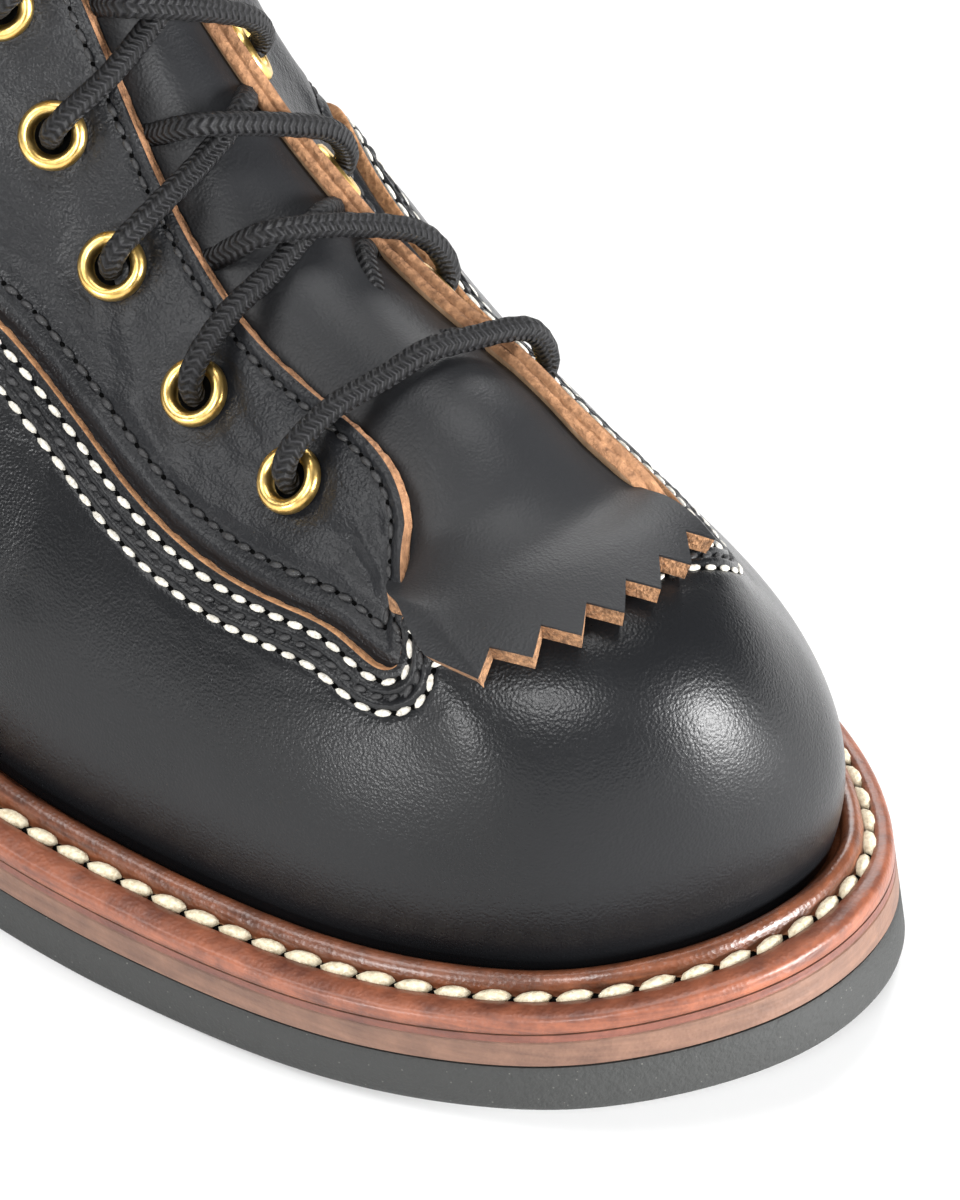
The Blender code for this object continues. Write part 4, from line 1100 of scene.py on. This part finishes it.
# %% Sew along a line
def spaced(line, ups, pitch, shift):
    """Even places along a line, with their direction and the leather's."""
    run = run_along(line)
    wanted = np.arange(shift * pitch, run[-1], pitch)
    at, back, ahead = [np.array([np.interp(wanted + offset, run, line[:, axis]) for axis in range(3)]).T
                       for offset in (0.0, -0.3 * pitch, 0.3 * pitch)]
    up = np.array([np.interp(wanted, run, ups[:, axis]) for axis in range(3)]).T
    return at, unit(ahead - back), unit(up)


def sew(name, line, stitch, shift=0.5):
    """A row of stitches as one plain mesh."""
    at, along, up = spaced(*line, stitch.pitch, shift)
    along = along * math.cos(stitch.slant) + np.cross(up, along) * math.sin(stitch.slant)
    mesh = bpy.data.meshes.new(name)
    mesh.from_pydata((at + up * stitch.lift).tolist(), [], [])
    for key, values in (("along", along), ("up", up)):
        mesh.attributes.new(key, "FLOAT_VECTOR", "POINT").data.foreach_set(
            "vector", np.ascontiguousarray(values, np.float32).ravel())
    seed = bpy.data.objects.new(name, mesh)
    bpy.context.scene.collection.objects.link(seed)
    modifier = seed.modifiers.new("stitches", "NODES")
    modifier.node_group = row_of_stitches
    sockets = {item.name: item.identifier for item in row_of_stitches.interface.items_tree
               if item.in_out == "INPUT"}
    for key, value in zip(("Stitch length", "Stitch width", "Stitch height"), stitch.size):
        modifier[sockets[key]] = float(value)
    modifier[sockets["Unevenness"]] = stitch.uneven
    modifier[sockets["Thread"]] = stitch.thread
    graph = bpy.context.evaluated_depsgraph_get()
    result = bpy.data.meshes.new_from_object(seed.evaluated_get(graph))
    bpy.data.objects.remove(seed)
    thing = bpy.data.objects.new(name, result)
    bpy.context.scene.collection.objects.link(thing)
    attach(thing, "root")
    report(thing)


def punch(name, line, pitch, size, lift):
    """Painted shade for the holes between the stitches of a row: a small dark disc at each."""
    sew(name, line, Stitch(pitch, size, hole, 0.0, lift, 0.08), 1.0)


print("ready to sew")

# %% Rows on the vamp and the counter
for key, distance in zip(("white_inner", "white_outer"), WHITE_ROWS):
    line = crossing(*vamp_grid, distance, True)
    sew("vamp_stitches_" + key, line, WHITE_STITCH)
    punch("vamp_hole_shade_" + key, line, WHITE_STITCH.pitch, (0.0010, 0.0009, 0.00030), 0.00004)
sew("vamp_stitches_black", crossing(*vamp_grid, BLACK_ROW, True), MIDDLE_STITCH)
for key, distance in zip(("inner", "outer"), WHITE_ROWS):
    sew("counter_stitches_" + key, crossing(*counter_grid, distance, True), WHITE_STITCH)

# %% Rows on the facings
front = np.abs(panel_u - SECTIONS) < 7.4
facing_row = crossing(outer_face[front], normals[front], from_top[front], FACING_ROW, True)
sew("facing_stitches", facing_row, FACING_STITCH)
punch("facing_hole_shade", facing_row, FACING_STITCH.pitch, (0.0008, 0.0007, 0.00025), 0.00002)
front = np.abs(panel_u - SECTIONS) < 6.2
panel_row = crossing(outer_face[front], normals[front], from_raw[front], PANEL_ROW, False)
sew("panel_stitches", panel_row, PANEL_STITCH)
punch("panel_hole_shade", panel_row, PANEL_STITCH.pitch, (0.0009, 0.0008, 0.00025), 0.00002)

# %% Welt stitches
NARROWEST_SHELF = 0.0032
order = np.flatnonzero(shelf > NARROWEST_SHELF)
welt_row = sole_line(sole_u, shelf * 0.85, SOLE_STACK - 0.0007)[order]
welt_row = welt_row, np.tile([0.0, 0.0, 1.0], (len(order), 1))
sew("welt_stitches", welt_row, WELT_STITCH)
punch("welt_hole_shade", welt_row, WELT_STITCH.pitch, (0.0015, 0.0017, 0.0006), 0.0001)

# %% [markdown]
# ## Tongue and kiltie
# The throat is closed by a tongue, and over it lies the kiltie, a thick flap whose free end is pinked with
# shears. Both are sheets with a crown across the throat. The kiltie tucks under the facings, comes out
# between their ends and drapes over the vamp. It is drawn as rows across the boot, joined by a smooth curve,
# laid clear of the vamp, and then cut: each column stops short of the end row by its share of a tooth.


# %% Lines over the throat
ACROSS = np.linspace(0.0, 1.0, 41)


def throat_row(u, extra, sink, crown_base, shares):
    """A crowned line from facing to facing; extra is how far it goes on past each edge, as a share."""
    left = wall_offset([u], [1.0], -KILTIE_SINK)[0]
    right = wall_offset([RING - u], [1.0], -KILTIE_SINK)[0]
    across = right - left
    width = np.linalg.norm(across)
    ahead = (wall_point([u + 0.1], [1.0]) + wall_point([RING - u - 0.1], [1.0])
             - wall_point([u - 0.1], [1.0]) - wall_point([RING - u + 0.1], [1.0]))[0]
    up = np.cross(across / width, ahead / np.linalg.norm(ahead))
    up *= (-1.0 if up[2] < 0 else 1.0) / np.linalg.norm(up)
    w = shares[:, None] * (1.0 + 2.0 * extra) - extra
    crown = 0.8 * THROAT_CROWN * width + sink
    return left * (1 - w) + right * w + up * (crown * 4 * w * (1 - w) - sink - crown_base)


throat_foot = throat_row(THROAT_FOOT, 0.0, 0.0, 0.0, ACROSS)
print("throat's width at its foot in mm:", round(1000 * float(np.ptp(throat_foot[:, 0]))))

# %% Rows of the kiltie's free end
Flap = namedtuple("Flap", "name reach left right height crown")
FLAP = [Flap(*row) for row in (
    ("between facing ends", 0.25, -0.124, 0.222, 0.280, 0.016),
    ("over throat end", 0.50, -0.136, 0.236, 0.283, 0.017),
    ("drape", 0.75, -0.147, 0.242, 0.282, 0.017),
    ("pinked end", 1.00, -0.153, 0.242, 0.279, 0.018),
)]


def flap_row(row, w):
    return np.c_[(row.left + (row.right - row.left) * w) * BALL_WIDTH, np.zeros(len(w)),
                 (row.height + row.crown * (4 * w * (1 - w) - 0.4)) * SHAFT_HEIGHT]


def through_rows(rows, at):
    """Smooth rows between control rows; at counts in control rows."""
    rows = np.asarray(rows)
    padded = np.concatenate([2 * rows[:1] - rows[1:2], rows, 2 * rows[-1:] - rows[-2:-1]])
    k = np.clip(np.floor(at).astype(int), 0, len(rows) - 2)
    t = (at - k)[..., None]
    column = np.arange(rows.shape[1])
    a, b, c, d = [padded[k + step, column] for step in range(4)]
    return 0.5 * (2 * b + (c - a) * t + (2 * a - 5 * b + 4 * c - d) * t ** 2
                  + (3 * b - a - 3 * c + d) * t ** 3)


print("flap rows:", [row.name for row in FLAP])

# %% Kiltie rows
TEETH, TOOTH, CORNER = 6, 0.0044, 0.05
# Fine rows to each control row
FINE = 6
along_teeth = np.concatenate([np.linspace(-CORNER / (1.0 - CORNER), 0.0, 7)[:-1],
                              np.linspace(0.0, 1.0, TEETH * 10 + 1)])
across_share = CORNER + (1.0 - CORNER) * along_teeth
columns = len(across_share)
control = []
for u in np.linspace(KILTIE_TOP, THROAT_FOOT, 13):
    extra = 0.11 - 0.09 * float(smooth((u - 10.2) / 0.8))
    control.append(throat_row(u, extra, 0.0032, 0.0, across_share))
foot_row = len(control) - 1
flap = [flap_row(row, across_share) for row in FLAP]
end_y = (y_at(1.0) + 0.0252 + 0.0244 * (along_teeth - 0.37) ** 2
         + 0.0080 * np.clip(1.0 - across_share / CORNER, 0.0, 1.0))
for row, line in zip(FLAP, flap):
    line[:, 1] = control[foot_row][:, 1] + (end_y - control[foot_row][:, 1]) * row.reach
    control.append(line)
last = len(control) - 1
print("kiltie rows:", len(control))


# %% Kiltie draped over the vamp
def neighbour_mean(values, **edge):
    """The mean of each value's four neighbours on the grid."""
    near = np.pad(values, 1, **edge)
    return 0.25 * (near[:-2, 1:-1] + near[2:, 1:-1] + near[1:-1, :-2] + near[1:-1, 2:])


under_it = BVHTree.FromPolygons([tuple(vert.co) for vert in vamp.data.vertices],
                                [tuple(face.vertices) for face in vamp.data.polygons])
control_at = np.linspace(0.0, last, last * FINE + 1)
draped = np.array([through_rows(control, np.full(columns, value)) for value in control_at])
short = np.zeros(draped.shape[:2])
for i in range(foot_row * FINE + 3, len(draped)):
    for j in range(columns):
        x, y, z = draped[i, j]
        hit = under_it.ray_cast((x, y, 0.2), (0.0, 0.0, -1.0))[0]
        if hit is not None:
            short[i, j] = np.clip(hit[2] + 1.12 * KILTIE_THICKNESS + GAP - z, 0.0, 0.006)
for _ in range(30):
    short = np.maximum(short, neighbour_mean(short, mode="edge"))
draped[:, :, 2] += short
loose = (foot_row - 2) * FINE
for _ in range(10):
    soft = neighbour_mean(draped[:, :, 2], mode="reflect", reflect_type="odd")
    draped[loose:, :, 2] = np.maximum(soft, draped[:, :, 2] - 0.00012)[loose:]
draped[:, :, 2] += 0.00030 * pucker(draped, 0.035, 2.0)
tooth_wave = (1.0 - 2.0 * np.abs((along_teeth * TEETH) % 1.0 - 0.5)) * (along_teeth > 0.0)
flap_length = np.linalg.norm(draped[-1] - draped[foot_row * FINE], axis=1)
kept_share = 1.0 - TOOTH * tooth_wave / flap_length
row_at = np.concatenate([np.linspace(0.0, foot_row, 70, endpoint=False),
                         foot_row + np.linspace(0.0, len(FLAP), 44)])
kiltie_top = np.array([through_rows(draped, FINE * np.where(
    value > foot_row, foot_row + (value - foot_row) * kept_share, value)) for value in row_at])
print("kiltie grid:", kiltie_top.shape[:2])


# %% Sheets with a thickness
def sheet(name, top, thickness, face_material, rim_material, back_material):
    """A closed sheet with a fibrous rim."""
    normal = np.cross(np.gradient(top, axis=0), np.gradient(top, axis=1))
    normal /= np.linalg.norm(normal, axis=2)[:, :, None]
    sign = np.sign(normal[:, top.shape[1] // 2, 2].mean())
    normal *= sign
    rows, cols = top.shape[:2]
    rim = [(0, j) for j in range(cols)] + [(i, cols - 1) for i in range(1, rows)]
    rim += [(rows - 1, j) for j in range(cols - 2, -1, -1)] + [(i, 0) for i in range(rows - 2, 0, -1)]
    i, j = np.array(rim).T
    bottom = top - normal * thickness
    verts = [top.reshape(-1, 3), bottom.reshape(-1, 3)]
    verts += [top[i, j] - normal[i, j] * thickness * share for share in (0.12, 0.4, 0.7, 0.9)]
    size = rows * cols
    faces, numbers = [], []
    a = (np.arange(rows - 1)[:, None] * cols + np.arange(cols - 1)[None, :]).ravel()
    quads = np.stack([a, a + 1, a + cols + 1, a + cols], axis=1)
    faces += [tuple(face) for face in quads.tolist()]
    faces += [tuple(face[::-1]) for face in (quads + size).tolist()]
    numbers += [0] * len(quads) + [2] * len(quads)
    ring = len(rim)
    levels = [i * cols + j]
    levels += [2 * size + k * ring + np.arange(ring) for k in range(4)] + [size + i * cols + j]
    for high, low in zip(levels[:-1], levels[1:]):
        for k in range(ring):
            faces.append((int(high[(k + 1) % ring]), int(high[k]), int(low[k]), int(low[(k + 1) % ring])))
            numbers.append(0 if high is levels[0] else 1)
    thing = piece(name, np.vstack(verts), faces, [face_material, rim_material, back_material], numbers,
                  np.full(sum(len(part) for part in verts), 0.4))
    mend(thing, merge=False, outward=True, crease_angle=48)
    return thing


kiltie = sheet("kiltie_flap", kiltie_top, KILTIE_THICKNESS, kiltie_leather, pinked_edge, raw_edge)
finish_piece(kiltie, "black leather", "kiltie")

# %% Tongue
TONGUE_ABOVE_COLLAR = 0.014
tongue_control = [throat_row(u, 0.22, 0.0030, 0.0042, ACROSS) for u in np.linspace(TONGUE_TOP, 11.0, 22)]
tongue_rise = unit(tongue_control[0].mean(axis=0) - tongue_control[2].mean(axis=0))
reach = (SHAFT_HEIGHT + TONGUE_ABOVE_COLLAR - tongue_control[0].mean(axis=0)[2]) / tongue_rise[2]
tongue_head = [tongue_control[0] + tongue_rise * reach * share for share in (1.0, 0.66, 0.33)]
tongue_control = tongue_head + tongue_control
tongue_at = np.linspace(0.0, len(tongue_control) - 1.0, 110)
tongue_top = np.array([through_rows(tongue_control, np.full(len(ACROSS), value)) for value in tongue_at])
tongue_top[:, :, 1] += 0.0004 * pucker(tongue_top, 0.04, 6.0)
tongue = sheet("tongue_leather", tongue_top, TONGUE_THICKNESS, facing_leather, raw_edge, lining)
finish_piece(tongue, "black leather", "tongue")

# %% [markdown]
# ## Eyelets
# Each eyelet is a brass tube rolled over into a rounded rim. A turned profile makes one, and the same profile
# is set on every place in the two rows, square to the leather there. A dark disc of painted shade closes the
# bottom of each hole, where the lace comes up.


# %% Rolled rims
def eyelet_row(name, side):
    """All the eyelets of one facing as one piece."""
    profile = [(EYELET_RADIUS, -0.0004), (EYELET_RADIUS, 0.0002), (0.97 * EYELET_RADIUS, 0.0007),
               (0.89 * EYELET_RADIUS, 0.00115), (0.78 * EYELET_RADIUS, EYELET_HEIGHT),
               (0.67 * EYELET_RADIUS, 0.00115), (0.60 * EYELET_RADIUS, 0.0007),
               (EYELET_HOLE + 0.0001, 0.0002), (EYELET_HOLE, -0.0005), (0.0, -0.00045)]
    turn = np.linspace(0.0, 2 * math.pi, 40, endpoint=False)
    verts, faces, numbers = [], [], []
    for pair in nests:
        nest = pair[side]
        helper = np.array([0.0, 0.0, 1.0]) if abs(nest.normal[2]) < 0.9 else np.array([0.0, 1.0, 0.0])
        right = unit(np.cross(helper, nest.normal))
        up = np.cross(nest.normal, right)
        seat = nest.centre + nest.normal * (EYELET_SEAT + 0.0002)
        ring = np.cos(turn)[:, None] * right + np.sin(turn)[:, None] * up
        grid = np.array([seat + radius * ring + height * nest.normal for radius, height in profile])
        quads, rows = grid_faces(40, len(profile), True)
        faces.append(quads + sum(len(part) for part in verts))
        # the bottom disc takes the painted hole shade
        numbers.append((rows >= 8).astype(int))
        verts.append(grid.transpose(1, 0, 2).reshape(-1, 3))
    thing = piece(name, np.vstack(verts), np.vstack(faces).tolist(), [brass, hole], np.concatenate(numbers))
    mend(thing, outward=True)
    label = ("outer", "inner")[side]
    finish_piece(thing, "brass", *[f"eyelet_{label}_{k:02d}" for k in range(1, EYELET_PAIRS + 1)])


eyelet_row("eyelets_outer", 0)
eyelet_row("eyelets_inner", 1)

# %% [markdown]
# ## The lace
# One braided cord starts as a bar over the first pair of eyelets. Both its ends go down through those
# eyelets, cross underneath, come up through the next pair, and so on to the top, each run leaving an eyelet
# over the facing's edge and diving under the other facing. The route is a few places for each run, joined by
# a smooth curve. The braid is a pattern on the cord's own map, which runs round it and along it.


# %% Route of the lace
def smooth_path(places, step):
    """Close points on a curve that passes evenly through the places."""
    places = np.asarray(places)
    padded = np.vstack([2 * places[0] - places[1], places, 2 * places[-1] - places[-2]])
    out = []
    for a, b, c, d in zip(padded, padded[1:], padded[2:], padded[3:]):
        ta, tb, tc = [max(np.linalg.norm(q - p), 1e-6) ** 0.5 for p, q in ((a, b), (b, c), (c, d))]
        m1 = (c - b) - tb * ((c - a) / (ta + tb) - (b - a) / ta)
        m2 = (c - b) - tb * ((d - b) / (tb + tc) - (d - c) / tc)
        for t in np.linspace(0.0, 1.0, max(3, int(np.linalg.norm(c - b) / step)), endpoint=False):
            out.append((2 * t ** 3 - 3 * t * t + 1) * b + (t ** 3 - 2 * t * t + t) * m1
                       + (3 * t * t - 2 * t ** 3) * c + (t ** 3 - t * t) * m2)
    out.append(places[-1])
    return np.array(out)


print("ready to route")


# %% Places along the lace
def over_throat(u, w, lift):
    """A place over the kiltie between the facings."""
    arc = throat_row(u, 0.0, 0.0030, 0.0, ACROSS)
    ahead = throat_row(u + 0.1, 0.0, 0.0030, 0.0, ACROSS)
    index = int(round(w * (len(ACROSS) - 1)))
    across = arc[index + 1] - arc[index - 1]
    up = np.cross(across, ahead[index] - arc[index])
    up *= (-1.0 if up[2] < 0 else 1.0) / np.linalg.norm(up)
    return arc[index] + up * lift


def up_through(nest, edge_place):
    """Up through an eyelet and over its rim towards the facing's edge."""
    inward = edge_place - nest.centre
    inward = unit(inward - nest.normal * np.dot(inward, nest.normal))
    return [nest.centre + nest.normal * lift + inward * shift for lift, shift in (
        (-0.0040, -0.0010), (-0.0002, -0.0004), (0.0029, 0.0009), (0.0042, 0.0040))]


def leg(low, high, side):
    """Up through one eyelet, over its facing, across, and under the other facing."""
    start, end = low[side], high[1 - side]
    rim = start.edge + (high[side].edge - start.edge) * 0.22
    edge_place = wall_offset([rim], [1.0], LACE_RADIUS + 3 * GAP)[0]
    route = up_through(start, edge_place) + [edge_place]
    lift = LACE_RADIUS + (0.0 if side == 0 else 0.0024)
    for step, place in ((0.38, 0.28), (0.52, 0.50), (0.64, 0.68)):
        u = low[0].edge + (high[0].edge - low[0].edge) * step
        route.append(over_throat(u, place if side == 0 else 1.0 - place, lift))
    u = low[1 - side].edge + (high[1 - side].edge - low[1 - side].edge) * 0.76
    route.append(wall_offset([u], [1.0], -WALL - 0.0010)[0])
    under = wall_offset([u], [1.0], -WALL - LACE_RADIUS - 0.0008)[0]
    route.append(under + (end.centre - end.normal * 0.0048 - under) * 0.5)
    return route


print("leg from the second pair:", len(leg(nests[1], nests[2], 0)), "places")


# %% The whole lace
def half_lace(side):
    """From the middle of the bar, down through the first eyelet and up to the last."""
    first = nests[0]
    lean = 1 if side == 0 else -1
    edge_place = wall_offset([first[side].edge], [1.0], LACE_RADIUS + 3 * GAP)[0]
    middle = [over_throat(first[0].edge, place, 1.3 * LACE_RADIUS) for place in (0.5, 0.5 - 0.2 * lean)]
    route = middle + [edge_place] + up_through(first[side], edge_place)[::-1]
    route.append(wall_offset([first[side].edge - 0.2 * lean], [1.0], -WALL - LACE_RADIUS)[0])
    cross = first[0].edge + (nests[1][0].edge - first[0].edge) * 0.5
    route.append(over_throat(cross, 0.5, -KILTIE_THICKNESS - LACE_RADIUS))
    route.append(wall_offset([nests[1][1 - side].edge + 0.2 * lean], [1.0], -WALL - LACE_RADIUS)[0])
    turn = 1 - side
    for k in range(1, EYELET_PAIRS - 1):
        route += leg(nests[k], nests[k + 1], turn)
        turn = 1 - turn
    top = nests[EYELET_PAIRS - 1][turn]
    route += [top.centre - top.normal * 0.0040, top.centre + top.normal * 0.0006]
    return route


lace_path = smooth_path(half_lace(0)[:0:-1] + half_lace(1), 0.0007)
print("lace shown:", round(float(run_along(lace_path)[-1]), 2), "m")


# %% Cord round the route
def cord(name, path, sides=12):
    """A round cord with its own map, once round and in metres along."""
    tangent = unit(np.gradient(path, axis=0))
    run = run_along(path)
    side = np.cross(tangent[0], (0.0, 0.0, 1.0))
    turn = np.linspace(0.0, 2 * math.pi, sides + 1)
    grid = np.zeros((sides + 1, len(path), 3))
    for k in range(len(path)):
        side = unit(side - tangent[k] * np.dot(side, tangent[k]))
        other = np.cross(tangent[k], side)
        ridge = 1.0 + 0.035 * np.cos(6.0 * turn + 2.0 * math.pi * run[k] / 0.0032)
        grid[:, k] = path[k] + LACE_RADIUS * (np.cos(turn) * ridge)[:, None] * side \
            + LACE_RADIUS * (np.sin(turn) * ridge)[:, None] * other
    faces, _ = grid_faces(sides + 1, len(path))
    thing = piece(name, grid.reshape(-1, 3), faces.tolist(), [braid])
    layer = thing.data.uv_layers.new(name="cord")
    corner = np.zeros(len(thing.data.loops), np.int32)
    thing.data.loops.foreach_get("vertex_index", corner)
    places = np.c_[(corner // len(path)) / sides, run[corner % len(path)]]
    layer.data.foreach_set("uv", places.astype(np.float32).ravel())
    return thing


lace = cord("lace", lace_path)
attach(lace, "root")
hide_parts("lace_bar", *[f"lace_cross_{k:02d}" for k in range(2, EYELET_PAIRS)])
report(lace)

# %% [markdown]
# ## Floor
# A plain white sheet large enough to fill the view, and left out of the boot itself.

# %% Floor
floor_finish = Finish("white sheet")
paper = floor_finish.noise(6.0, 2.0)
white = floor_finish.ramp(paper, (0.0, (0.93, 0.93, 0.93)), (1.0, (0.95, 0.95, 0.95)))
floor_material = floor_finish.shade(white, paper * 0.05 + 0.85)
floor_corners = [(-4.0, -4.0, 0.0), (4.0, -4.0, 0.0), (4.0, 4.0, 0.0), (-4.0, 4.0, 0.0)]
floor = piece("floor", floor_corners, [(0, 1, 2, 3)], [floor_material])
print("floor laid")
